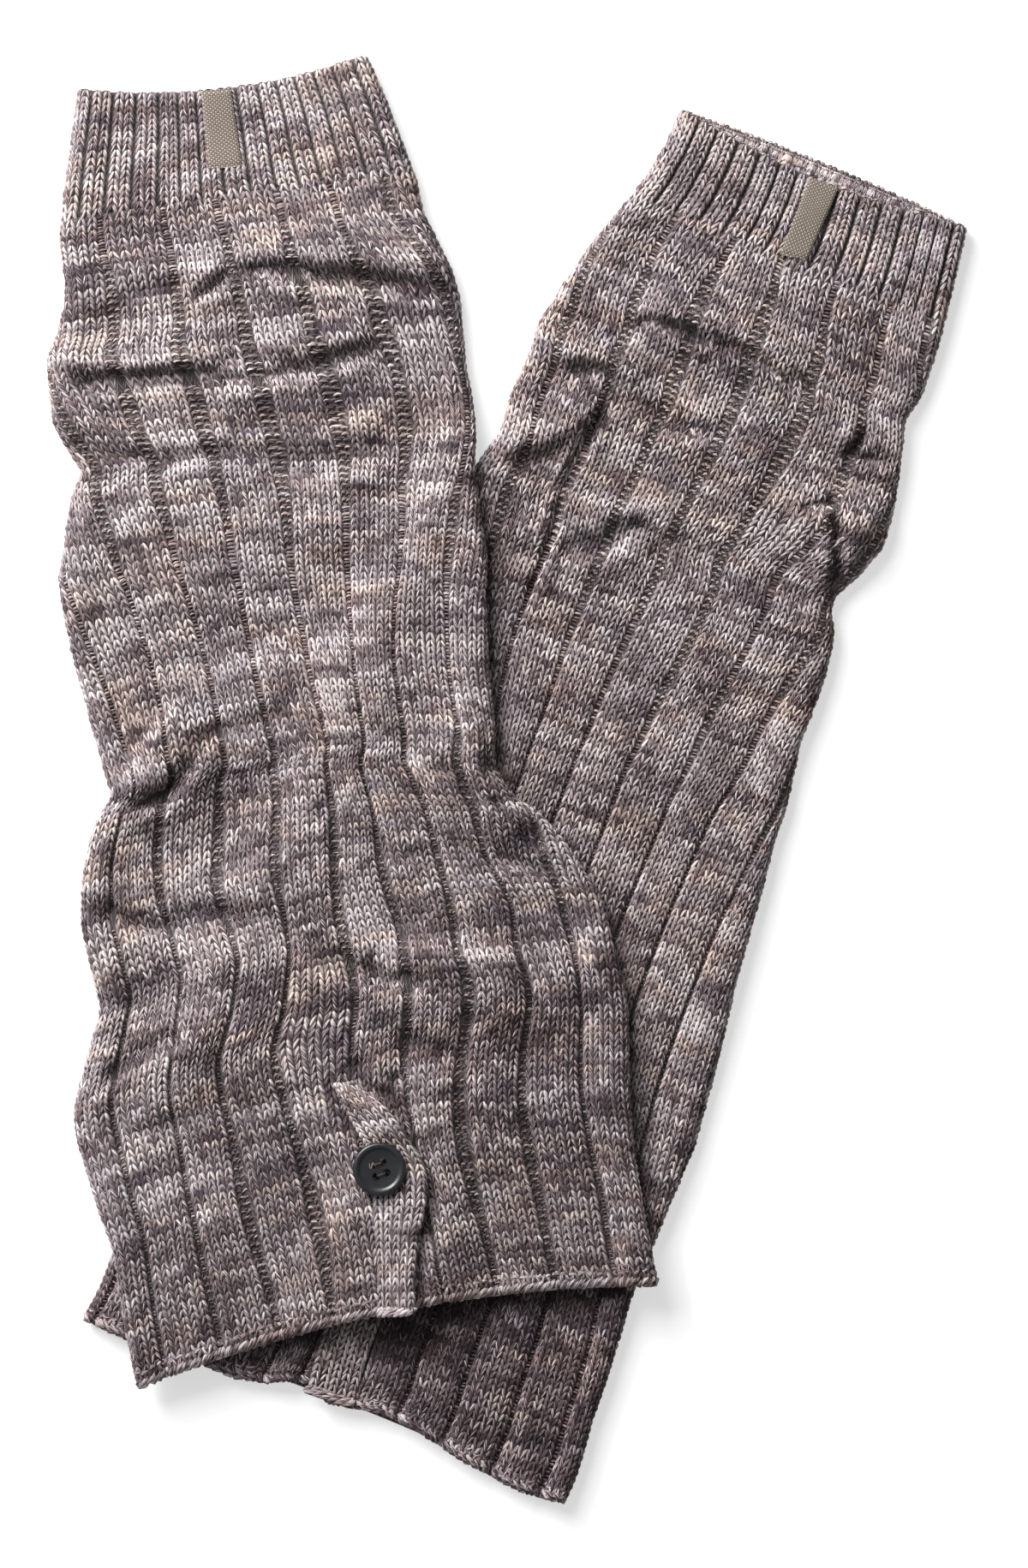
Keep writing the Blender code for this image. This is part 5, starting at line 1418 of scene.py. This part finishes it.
class Band:
    """The edge band of an overlap: a strip of five wales, thick along its free edge."""

    def __init__(self, leg, rows, free_right, roll_from, seed):
        self.leg, self.seed, self.roll_from = leg, seed, roll_from
        rows = np.array(rows, float)
        left, right = rows[:, :2], rows[:, 2:]
        centre = (left + right) / 2
        s = np.concatenate([[0], np.cumsum(np.hypot(*np.diff(centre, axis=0).T))])
        self.long = s[-1]
        n = int(self.long / 0.9) + 1
        t = np.linspace(0, self.long, n)
        fit = lambda col: np.convolve(np.pad(np.interp(t, s, col), 3, mode="edge"), np.ones(7) / 7, "valid")
        lx, ly, rx, ry = fit(left[:, 0]), fit(left[:, 1]), fit(right[:, 0]), fit(right[:, 1])
        hem = smooth(4.0, 0.0, t)
        for got, col in ((lx, left[:, 0]), (ly, left[:, 1]), (rx, right[:, 0]), (ry, right[:, 1])):
            got += (np.interp(t, s, col) - got) * hem
        u = np.concatenate([np.linspace(0, 0.9, 12), np.linspace(0.93, 1.0, 5)])
        if not free_right:
            u = 1 - u[::-1]
        x = lx[:, None] + (rx - lx)[:, None] * u[None]
        y = ly[:, None] + (ry - ly)[:, None] * u[None]
        r, v = leg.find(x, y)
        P, N = leg.skin(r, np.minimum(v, leg.total - EDGE_ROUND - 0.2), 0.0)
        P = np.stack([x, y, P[..., 2]], -1)
        free = u if free_right else 1 - u            # 1 at the free edge
        wide = np.hypot(rx - lx, ry - ly)[:, None]
        inset = (1 - free)[None, :] * wide
        round_ = np.sqrt(np.clip(1 - (1 - np.minimum(inset, BAND_TUCK) / BAND_TUCK) ** 2, 0, 1))
        rise = BAND_LOW + (BAND_HIGH - BAND_LOW) * smooth(0.0, 0.85, free)[None, :] + 0 * inset
        # the roll: both edges stand off the panel where the band runs across it
        roll = smooth(roll_from - 6.0, roll_from + 6.0, t)[:, None] if roll_from else 0 * t[:, None]
        mid = np.minimum(u, 1 - u)[None, :]
        rolled = 0.5 + 4.7 * np.sqrt(np.clip(1 - (1 - np.minimum(mid / 0.5, 1.0)) ** 2, 0, 1))
        h = rise * (1 - roll) + rolled * roll
        fade = 0.70 + 0.30 * smooth(self.long, self.long - 12.0, t)[:, None] if roll_from else 1.0
        h = h * fade
        under = 0.40 + 0 * h
        half = 0.5 * (h + under)
        edge = round_ * (1 - roll) + roll
        top = half + (h - half) * edge
        low = half - (half - under) * edge
        up = np.array([0.0, 0.0, 1.0])
        T, U = P + up * top[..., None], P + up * low[..., None]
        k = u * BAND_WALES
        self.patch = Patch(k, t, T, flip=True)
        if self.patch.N[n // 2, 8, 2] < 0:
            self.patch = Patch(k, t, T, flip=False)
        self.outline = list(zip(lx, ly)) + list(zip(rx, ry))[::-1]
        self.T, self.U, self.t, self.k, self.wide = T, U, t, k, wide[:, 0]

    def covers(self, x, y, inset=0.9):
        return inside_distance(self.outline, x, y) > inset

    def build(self, name, mat, yarn_mat):
        K = 1.0 + self.k[None, :] + 0 * self.t[:, None]
        C = -self.t[:, None] / COURSE + 0 * K
        tone, warm = self.leg.dye_and_shade(K + 6 * self.seed, C + 40)
        # the band's cloth lies wholly under strands: its gaps get the full painted shade
        dye_and_shade = np.stack([tone, warm, 1 + 0 * tone], -1)
        strip = sweep(name + "_cloth", self.T, self.U, mat, np.stack([K, C], -1), dye_and_shade)
        s = Strands()
        courses = np.arange(0, int((self.long - 1.0) / COURSE))
        KK, CC = np.meshgrid(np.arange(BAND_WALES), courses)
        KK, CC = KK.ravel(), CC.ravel()
        for side in (-1, 1):
            h1, h2, h3, h4 = (mix_hash(KK * 2 + side + 50 * self.seed, CC, self.leg.seed + q) for q in (31, 32, 33, 34))
            s0 = (CC + 1.65 + 0.12 * (h1 - 0.5)) * COURSE
            s1 = s0 - COURSE * (LEG_LONG + 0.16 * (h2 - 0.5))
            a0 = KK + 0.5 + side * (0.06 + 0.05 * (h3 - 0.5))
            a1 = KK + 0.5 + side * (0.46 + 0.05 * (h4 - 0.5))
            scale_a = np.interp((s0 + s1) / 2, self.t, self.wide) / BAND_WALES
            tone, warm = self.leg.dye_and_shade(KK + 0.3 * side + 6 * self.seed, 40.0 - CC)
            # painted highlight: the strands on the raised roll by the button are lighter
            tone = np.clip(tone + DYE_LEG * (h3 - 0.5) + 0.05 + (0.11 * smooth(58.0, 66.0, s0) if self.roll_from else 0.0), 0, 1)
            half = (LEG_HALF + LEG_WIDER * np.clip(scale_a, 2.2, 5.0)) * (0.92 + 0.2 * h2)
            s.add(self.patch.at, a0, s0, a1, np.maximum(s1, 0.0), half, STITCH_HIGH * (0.85 + 0.35 * h1), tone, warm, h4,
                  arc=side * -0.06, scale=(scale_a, np.ones(len(KK))))
        end = np.arange(-0.2, BAND_WALES + 0.1, 0.78)
        h1, h2, h3 = (mix_hash(np.round(end * 10).astype(int), 7, self.leg.seed + q) for q in (35, 36, 37))
        tone, warm = self.leg.dye_and_shade(end + 6 * self.seed, 0 * end + 41.0)
        s.add(self.patch.at, end - 0.85, 0.0 * end, end + 0.95, 3.2 + 0.3 * h1, 1.12 + 0.12 * h2, 1.45 + 0.15 * h3,
              np.clip(0.5 * tone + (0.30 if self.leg.right else 0.42) + 0.26 * (h1 - 0.5), 0, 1), warm, h2,
              arc=0.15, edge=0.8, scale=(self.wide[0] / BAND_WALES + 0 * end, np.ones(len(end))),
              profile=(CHAIN_HEIGHT, CHAIN_WIDTH))
        knots = s.build(name + "_stitches", yarn_mat)
        return strip, knots


def tape(leg, name, corners, mat, seed):
    """A woven tape sewn over the cuff: its top end goes round the mouth's edge."""
    c = np.array(corners, float)
    c[:2] += 1.3 * unit(c[3] - c[0])
    t = np.concatenate([np.linspace(0.0, 1.0, 40)])
    u = np.linspace(0, 1, 13)
    top = c[0][None, :] + (c[1] - c[0])[None, :] * u[:, None]
    low = c[3][None, :] + (c[2] - c[3])[None, :] * u[:, None]
    xy = top[None] * (1 - t[:, None, None]) + low[None] * t[:, None, None]
    r, v = leg.find(xy[..., 0], xy[..., 1])
    # straight in v near the mouth, then on round the edge
    v0 = np.linspace(0.3, max(1.6, v[1].mean()) - 0.4, 8)
    over_v = v0[:, None] + 0 * u[None, :]
    over_r = r[1][None, :] + 0 * over_v
    r, v = np.concatenate([over_r, r[2:]]), np.concatenate([over_v, v[2:]])
    lift = 0.85 + 0 * u[None, :] - 0.25 * np.abs(2 * u[None, :] - 1) ** 4 + 0 * v
    end = np.linspace(0, 1, len(v))[:, None]
    lift = lift - 0.45 * smooth(0.955, 1.0, end)
    P, N = leg.skin(r, v, 0.0)
    Pt, Nt = leg.skin(r, v, 0.55)
    body = (v > EDGE_ROUND)[..., None]
    base = np.where(body, P + N * lift[..., None], Pt)
    NN = np.where(body, N, Nt)
    T = base + NN * 0.45
    U = base
    uv = np.stack([u[None, :] * 11.0 + 0 * v, v], -1)
    return sweep(name, T, U, mat, uv, None)


def turned(name, centre, z0, tilt, seed, mat):
    """A four-hole button: a turned disc with a rim and a dished middle, drilled through."""
    R, H = BUTTON_RADIUS, BUTTON_THICK
    rim_in = R - BUTTON_RIM
    profile = [(0.0, H - BUTTON_DISH), (rim_in - 1.3, H - BUTTON_DISH)]
    for k in range(1, 7):                       # sweep up to the rim
        f = k / 6
        profile.append((rim_in - 1.3 + 1.3 * f, H - BUTTON_DISH * (1 - float(smooth(0, 1, f)))))
    for k in range(1, 10):                      # the rim rolls over to the wall
        a = math.pi / 2 * k / 9
        profile.append((rim_in + (R - rim_in) * (0.28 + 0.72 * math.sin(a)), H - 1.05 * (1 - math.cos(a))))
    profile += [(R, 1.15), (R - 0.12, 0.75), (R - 0.55, 0.35), (R - 1.3, 0.08), (R - 2.2, 0.0), (0.0, 0.0)]
    bm = bmesh.new()
    n = 112
    rings = []
    for rad, z in profile:
        if rad == 0.0:
            rings.append([bm.verts.new((0, 0, z * MM))])
        else:
            rings.append([bm.verts.new((rad * math.cos(2 * math.pi * k / n) * MM, rad * math.sin(2 * math.pi * k / n) * MM, z * MM))
                          for k in range(n)])
    for a, b in zip(rings[:-1], rings[1:]):
        for k in range(n):
            k2 = (k + 1) % n
            if len(a) == 1:
                bm.faces.new((a[0], b[k], b[k2]))
            elif len(b) == 1:
                bm.faces.new((a[k], b[0], a[k2]))
            else:
                bm.faces.new((a[k], b[k], b[k2], a[k2]))
    bmesh.ops.recalc_face_normals(bm, faces=bm.faces)
    mesh = bpy.data.meshes.new(name)
    bm.to_mesh(mesh)
    bm.free()
    body = bpy.data.objects.new(name, mesh)
    scene = bpy.context.scene.collection.objects
    scene.link(body)
    holes = []
    for k in range(4):
        a = math.radians(BUTTON_TURN + 90 * k)
        bpy.ops.mesh.primitive_cylinder_add(vertices=28, radius=BUTTON_HOLE_RADIUS * MM, depth=3 * H * MM,
                                            location=(BUTTON_HOLE_PITCH * MM * math.cos(a), BUTTON_HOLE_PITCH * MM * math.sin(a), 0))
        holes.append(bpy.context.object)
    for h in holes:
        m = body.modifiers.new("hole", "BOOLEAN")
        m.object, m.operation = h, "DIFFERENCE"
    dg = bpy.context.evaluated_depsgraph_get()
    cut = bpy.data.meshes.new_from_object(body.evaluated_get(dg))
    body.modifiers.clear()
    body.data = cut
    for h in holes:
        hm = h.data
        bpy.data.objects.remove(h)
        bpy.data.meshes.remove(hm)
    co = np.empty(len(cut.vertices) * 3)
    cut.vertices.foreach_get("co", co)
    co = co.reshape(-1, 3)
    tx, ty = tilt
    co[:, 2] += co[:, 0] * tx + co[:, 1] * ty
    co += np.array([centre[0] * MM, centre[1] * MM, z0 * MM])
    cut.vertices.foreach_set("co", co.ravel())
    cut.polygons.foreach_set("use_smooth", np.ones(len(cut.polygons), bool))
    cut.update()
    cut.set_sharp_from_angle(angle=math.radians(38))
    cut.materials.clear()
    cut.materials.append(mat)
    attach(body, "root")
    return body


def sewing(name, centre, z0, mat):
    """Thread across the button's middle: two stitches of two turns, from hole to hole."""
    s_pts, quads = [], []
    top = z0 + BUTTON_THICK - BUTTON_DISH
    count = 0
    for pair in ((0, 1), (2, 3)):
        for turn in range(2):
            ends = []
            for k in pair:
                a = math.radians(BUTTON_TURN + 90 * k)
                ends.append(np.array([centre[0] + BUTTON_HOLE_PITCH * math.cos(a), centre[1] + BUTTON_HOLE_PITCH * math.sin(a)]))
            d = unit(ends[1] - ends[0])
            nrm = np.array([-d[1], d[0]])
            off = (turn - 0.5) * 0.36
            path = []
            for f in np.linspace(0, 1, 15):
                q = ends[0] * (1 - f) + ends[1] * f + nrm * off * (0.5 + 0.5 * math.sin(math.pi * f)) * (1 if turn % 2 else 0.9)
                z = top + 0.32 + 0.16 * math.sin(math.pi * f) - 2.4 * (float(smooth(0.16, 0.0, f)) + float(smooth(0.84, 1.0, f))) + 0.05 * (turn % 2)
                path.append((q[0], q[1], z))
            path = np.array(path)
            tan = unit(np.gradient(path, axis=0))
            side = unit(np.cross(tan, np.array([0, 0, 1.0])))
            up = np.cross(side, tan)
            ring = [path + 0.15 * (side * math.cos(a) + up * math.sin(a)) for a in np.linspace(0, 2 * math.pi, 8)[:-1]]
            ring = np.stack(ring, 1)
            m, k7 = ring.shape[:2]
            idx = count + np.arange(m * k7).reshape(m, k7)
            quads.append(np.stack([idx[:-1], np.roll(idx, -1, 1)[:-1], np.roll(idx, -1, 1)[1:], idx[1:]], -1).reshape(-1, 4))
            s_pts.append(ring.reshape(-1, 3))
            count += m * k7
    return make(name, np.concatenate(s_pts), np.concatenate(quads)[:, ::-1], mat)


def chain(leg, name, mat, r_from, r_to, shown, slant):
    """The bound-off edge at a hem: slanted links round the rim, a row of short bumps above."""
    s = Strands()
    T = leg.total
    k = np.arange(math.ceil(r_from * 7), math.floor(r_to * 7), 0.86)
    v = 0 * k + T - 1.0
    r = leg.rib_of_wale(k, v)
    keep = shown(r, v - 2.0)
    k, v, r = k[keep], v[keep], r[keep]
    idx = np.round(k * 10).astype(int)
    h1, h2, h3 = (mix_hash(idx, 3, leg.seed + q) for q in (61, 62, 63))
    scale_r = np.clip(leg.look(leg.rib_mm, r, v), 4, 40)
    one = np.ones(len(k))
    tone, warm = leg.dye_and_shade(k, 0 * k + leg.course_of(np.array(T)) + 1)
    tone = np.clip(tone * 0.5 + (0.24 if leg.right else 0.40) + (0.34 if leg.right else 0.22) * (h1 - 0.5), 0, 1)
    # the links lie round the edge, a row of loops behind them
    lay = leg.at
    rim = EDGE_ROUND * 1.9
    a0 = leg.rib_of_wale(k - 0.95 * slant, v)
    a1 = leg.rib_of_wale(k + 1.10 * slant, v)
    s.add(lay, a0, T + rim * (0.62 + 0.12 * h2), a1, T - 2.5 - 0.5 * h3, 1.12 + 0.14 * h3, 1.45 + 0.2 * h2, tone, warm, h1,
          arc=0.35 * slant, edge=0.95, scale=(scale_r, one), profile=(CHAIN_HEIGHT, CHAIN_WIDTH))
    b0 = leg.rib_of_wale(k - 0.45, v)
    b1 = leg.rib_of_wale(k + 0.45, v)
    tone2 = np.clip(tone - 0.08 + (0.18 if leg.right else 0.36) * (h2 - 0.5), 0, 1)
    s.add(lay, b0, T - 4.2 + 1.6 * (h1 - 0.5), b1, T - 4.4 - 1.6 * (h2 - 0.5), 0.72 + 0.14 * h3, 0.95, tone2, warm, h2,
          arc=-0.6 * slant, edge=0.6, scale=(scale_r, one), profile=(BUMP_HEIGHT, BUMP_WIDTH))
    return s.build(name, mat)


def mouth_row(leg, name, mat, r_from, r_to):
    """The edge a cuff begins with: a short loop over the rim at each wale."""
    s = Strands()
    f = CUFF_RIBS * 3 / RIBS
    k = np.arange(math.ceil((r_from + leg.cuff_turn) * f), math.floor((r_to + leg.cuff_turn) * f))
    k = k[k % 3 != 0] + 0.5
    h1, h2, h3 = (mix_hash(np.round(k * 2).astype(int), 5, leg.seed + q) for q in (91, 92, 93))
    a0, a1 = (leg.rib_of_wale(k + q, 0 * k) for q in (-0.56, 0.56))
    scale_r = np.clip(leg.look(leg.rib_mm, a0, 0 * k), 4, 40)
    tone, warm = leg.dye_and_shade(k, 0 * k)
    s.add(leg.at, a0, -0.5 + 0.7 * (h1 - 0.5), a1, -0.5 + 0.7 * (h2 - 0.5), 0.72 + 0.16 * h3, 0.75 + 0.3 * h1,
          np.clip(tone + 0.3 * (h3 - 0.5), 0, 1), warm, h2, arc=-0.5 - 0.4 * h1, edge=0.5,
          scale=(scale_r, np.ones(len(k))), profile=(BUMP_HEIGHT, BUMP_WIDTH))
    return s.build(name, mat)


def inner_rows(leg, name, mat, r_from, r_to, depth):
    """Stitches on the inner face of the back, by the cuff's mouth."""
    s = Strands()
    f = CUFF_RIBS * 3 / RIBS
    ks = np.arange(math.ceil((r_from + leg.cuff_turn) * f), math.floor((r_to + leg.cuff_turn) * f))
    cs = np.arange(0, int(depth / COURSE_CUFF))
    K, C = (a.ravel() for a in np.meshgrid(ks, cs))
    v = (C + 0.75) * COURSE_CUFF
    face = lambda r, v: leg.at(r, v, inner=True)
    for side in (-1, 1):
        h1, h2, h3, h4 = (mix_hash(K * 2 + side, C, leg.seed + q) for q in (81, 82, 83, 84))
        v0 = v + 0.2 * (h1 - 0.5)
        v1 = v0 - COURSE_CUFF * 1.15
        a0, a1 = leg.rib_of_wale(K + 0.5 + side * 0.1, v), leg.rib_of_wale(K + 0.5 + side * 0.46, v)
        scale_r = np.clip(leg.look(leg.rib_mm, a0, v), 4, 40)
        tone, warm = leg.dye_and_shade(K + 0.3 * side, -C - 3.0)
        s.add(face, a0, v0, a1, np.maximum(v1, 0.3), 0.62 + 0.1 * h2, 0.75, np.clip(tone + 0.3 * (h3 - 0.5), 0, 1), warm, h4,
              arc=0.05 * side, scale=(scale_r, np.ones(len(K))))
    return s.build(name, mat)


def tape_material(name):
    """Basket weave of a light and a darker taupe thread."""
    m = Nodes(name)
    uv = m.node("ShaderNodeUVMap", uv_map="knit").outputs[0]
    x, y, _ = m.split(uv)
    pitch = 1.6
    gx, gy = m.math("MULTIPLY", x, 1 / pitch), m.math("MULTIPLY", y, 1 / pitch)
    sx = m.math("SINE", m.math("MULTIPLY", gx, 2 * math.pi))
    sy = m.math("SINE", m.math("MULTIPLY", gy, 2 * math.pi))
    over = m.math("MULTIPLY", sx, sy)
    dots = m.ramp01(over, 0.05, 0.75)
    ridge = m.math("ABSOLUTE", over)
    grain = m.noise(m.vector(x, y, 0.0), 1.7, 2.0, 0.6)
    base = m.shades(m.math("MULTIPLY_ADD", m.math("SUBTRACT", grain, 0.5), 0.7, 0.5),
                    ((0.0, (74, 66, 58)), (0.5, (92, 83, 74)), (1.0, (110, 100, 90))))
    light = m.mix(m.math("MULTIPLY", dots, 0.85), base, srgb(152, 140, 129))
    dark = m.ramp01(ridge, 0.22, 0.0)
    col = m.multiply(m.math("MULTIPLY", dark, 0.55), light, srgb(120, 112, 100))
    m.put(col, m.bsdf.inputs["Base Color"])
    m.put(m.bump(m.math("ADD", ridge, m.math("MULTIPLY", grain, 0.3)), 0.00022, 0.8), m.bsdf.inputs["Normal"])
    m.bsdf.inputs["Roughness"].default_value = 0.7
    m.bsdf.inputs["Specular IOR Level"].default_value = 0.3
    m.bsdf.inputs["Sheen Weight"].default_value = 0.15
    return m.mat


def button_material(name):
    """Charcoal resin, satin, with a faint clouding and fine turning marks."""
    m = Nodes(name)
    geo = m.node("ShaderNodeTexCoord").outputs["Object"]
    cloud = m.noise(geo, 160.0, 2.0, 0.5)
    fine = m.noise(geo, 1400.0, 2.0, 0.6)
    col = m.shades(m.math("MULTIPLY_ADD", m.math("SUBTRACT", cloud, 0.5), 1.2, 0.5),
                   ((0.0, (17, 18, 20)), (0.5, (23, 24, 26)), (1.0, (31, 32, 33))))
    m.put(col, m.bsdf.inputs["Base Color"])
    rough = m.math("MULTIPLY_ADD", fine, 0.16, 0.30)
    m.put(rough, m.bsdf.inputs["Roughness"])
    m.put(m.bump(fine, 0.00003, 0.5), m.bsdf.inputs["Normal"])
    m.bsdf.inputs["Specular IOR Level"].default_value = 0.5
    return m.mat


def thread_material(name):
    m = Nodes(name)
    geo = m.node("ShaderNodeTexCoord").outputs["Object"]
    grain = m.noise(geo, 2600.0, 2.0, 0.6)
    col = m.shades(grain, ((0.2, (26, 26, 27)), (0.5, (40, 39, 39)), (0.8, (58, 57, 56))))
    m.put(col, m.bsdf.inputs["Base Color"])
    m.put(m.bump(grain, 0.0001, 0.8), m.bsdf.inputs["Normal"])
    m.bsdf.inputs["Roughness"].default_value = 0.7
    return m.mat


# ---- build -------------------------------------------------------------------
LEFT = Leg("left", LEFT_SECTIONS, LEFT_FOLDS, LEFT_CREASES, LEFT_CHANNELS, -0.216, 11, False)
RIGHT = Leg("right", RIGHT_SECTIONS, RIGHT_FOLDS, RIGHT_CREASES, RIGHT_CHANNELS, -0.07, 211, True)

yarn = yarn_material("marl_yarn", 1.0)
knit = ground_material("marl_ground")
weave = tape_material("label_weave")
resin = button_material("button_charcoal")
thread = thread_material("sewing_thread")

left_band = Band(LEFT, LEFT_BAND, True, 62.0, 3)
right_band = Band(RIGHT, RIGHT_BAND, False, 74.0, 5)


def under_label(corners, P):
    a, b, c, d = (np.array(q) for q in corners)
    longer = (a + 4.0 * unit(a - d), b + 4.0 * unit(b - c), c, d)
    return inside_distance(longer, P[..., 0], P[..., 1]) > 0.8


def left_shown(r, v):
    P, N = LEFT.at(r, v)
    return (P[..., 2] > 1.4) & (N[..., 2] > -0.35)


def left_stitched(r, v):
    P, _ = LEFT.at(r, v)
    return left_shown(r, v) & ~left_band.covers(P[..., 0], P[..., 1]) & ~under_label(LEFT_LABEL, P)


def right_shown(r, v):
    P, N = RIGHT.at(r, v)
    covered = inside_distance(outline(LEFT_SECTIONS), P[..., 0], P[..., 1]) > 7.0
    return (P[..., 2] > 1.4) & (N[..., 2] > -0.35) & ~covered


def right_stitched(r, v):
    P, _ = RIGHT.at(r, v)
    return right_shown(r, v) & ~right_band.covers(P[..., 0], P[..., 1]) & ~under_label(RIGHT_LABEL, P)


left_pieces, right_pieces = [], []
lay_knit(LEFT, "left_stitches", left_stitched, [96], yarn, left_pieces)
lay_knit(RIGHT, "right_stitches", right_stitched, [84], yarn, right_pieces)
left_pieces.append(chain(LEFT, "left_hem_chain", yarn, LEFT.rl[-1] - 0.6, LEFT.rr[-1] + 0.6, left_shown, 1.0))
right_pieces.append(chain(RIGHT, "right_hem_chain", yarn, RIGHT.rl[-1] - 0.6, RIGHT.rr[-1] + 0.6, right_shown, -1.0))
right_inner = inner_rows(RIGHT, "right_cuff_inside", yarn, RIGHT.rr[0] + 0.4, RIGHT.rl[0] + RIBS - 0.4, 12.0)

edges = {"left": [mouth_row(LEFT, "left_cuff_edge", yarn, LEFT.rl[0] - 0.2, LEFT.rl[0] + RIBS - 0.2)],
         "right": [mouth_row(RIGHT, "right_cuff_edge", yarn, RIGHT.rl[0] - 0.2, RIGHT.rl[0] + RIBS - 0.2), right_inner]}

tubes = {}
for leg, shown, name in ((LEFT, left_shown, "left"), (RIGHT, right_shown, "right")):
    hidden = lambda r, v, s=shown: s(r, v).astype(float)
    cuff = ground(leg, name + "_cuff_cloth", 0.0, leg.cuff_v, knit, True, False, hidden)
    body = ground(leg, name + "_leg_cloth", leg.cuff_v, leg.total, knit, False, True, hidden)
    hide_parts(name + "_cuff")
    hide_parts(name + "_leg")
    tubes[name] = (cuff, body)


for leg, name, pieces, on in ((LEFT, "left", left_pieces, ["right_leg_cloth", "right_cuff_cloth", "floor"]),
                              (RIGHT, "right", right_pieces, ["floor"])):
    cuff, body = tubes[name]

for name, band in (("left", left_band), ("right", right_band)):
    strip, knots = band.build(name + "_band", knit, yarn)
    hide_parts(name + "_placket")

for leg, name, corners in ((LEFT, "left", LEFT_LABEL), (RIGHT, "right", RIGHT_LABEL)):
    t = tape(leg, name + "_label_tape", corners, weave, 7)
    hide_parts(name + "_label")

for name, centre, tilt in (("left", LEFT_BUTTON, (-0.03, 0.02)), ("right", RIGHT_BUTTON, (0.0, 0.0))):
    low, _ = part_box(name + "_button")
    z0 = low[2] / MM
    disc = turned(name + "_button_disc", centre, z0, tilt, 5, resin)
    cord = sewing(name + "_button_thread", centre, z0, thread)
    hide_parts(name + "_button")

# ---- stage -------------------------------------------------------------------
floor_mesh = bpy.data.meshes.new("floor")
floor_mesh.from_pydata([(-3, -3, -0.0004), (3, -3, -0.0004), (3, 3, -0.0004), (-3, 3, -0.0004)], [], [(0, 1, 2, 3)])
floor = bpy.data.objects.new("floor", floor_mesh)
bpy.context.scene.collection.objects.link(floor)
fm = Nodes("floor_paper")
fm.bsdf.inputs["Base Color"].default_value = (0.46, 0.46, 0.46, 1)
fm.bsdf.inputs["Emission Color"].default_value = (1, 1, 1, 1)
fm.bsdf.inputs["Emission Strength"].default_value = 0.57
fm.bsdf.inputs["Roughness"].default_value = 1.0
fm.bsdf.inputs["Specular IOR Level"].default_value = 0.0
floor_mesh.materials.append(fm.mat)


def area_light(name, place, aim, size, power, colour=(1, 1, 1)):
    data = bpy.data.lights.new(name, "AREA")
    data.shape, data.size, data.energy, data.color = "DISK", size, power, colour
    obj = bpy.data.objects.new(name, data)
    bpy.context.scene.collection.objects.link(obj)
    obj.location = place
    obj.rotation_mode = "QUATERNION"
    obj.rotation_quaternion = (Vector(aim) - Vector(place)).to_track_quat("-Z", "Y")
    return obj


area_light("key", (-0.86, 1.02, 0.74), (0, 0.05, 0), 0.34, 21.0)
area_light("soft", (-0.76, 0.90, 0.88), (0, 0.04, 0), 1.25, 50.0)
world = bpy.data.worlds.new("studio")
world.use_nodes = True
world.node_tree.nodes["Background"].inputs[0].default_value = (1, 1, 1, 1)
world.node_tree.nodes["Background"].inputs[1].default_value = 0.26
bpy.context.scene.world = world
bpy.context.scene.view_settings.view_transform = "Standard"
bpy.context.scene.view_settings.look = "None"

# ---- camera ------------------------------------------------------------------
cam_data = bpy.data.cameras.new("camera")
cam_data.lens = 200.0
cam_data.sensor_width = 36.0
cam_data.dof.use_dof = False
cam = bpy.data.objects.new("camera", cam_data)
bpy.context.scene.collection.objects.link(cam)
high = 1831 * 0.3 * cam_data.lens / cam_data.sensor_width + 6.0
cam.location = (2.7 * MM, -2.25 * MM, high * MM)
cam.rotation_euler = (0, 0, 0)
cam_data.clip_start, cam_data.clip_end = 0.1, 20.0
bpy.context.scene.camera = cam
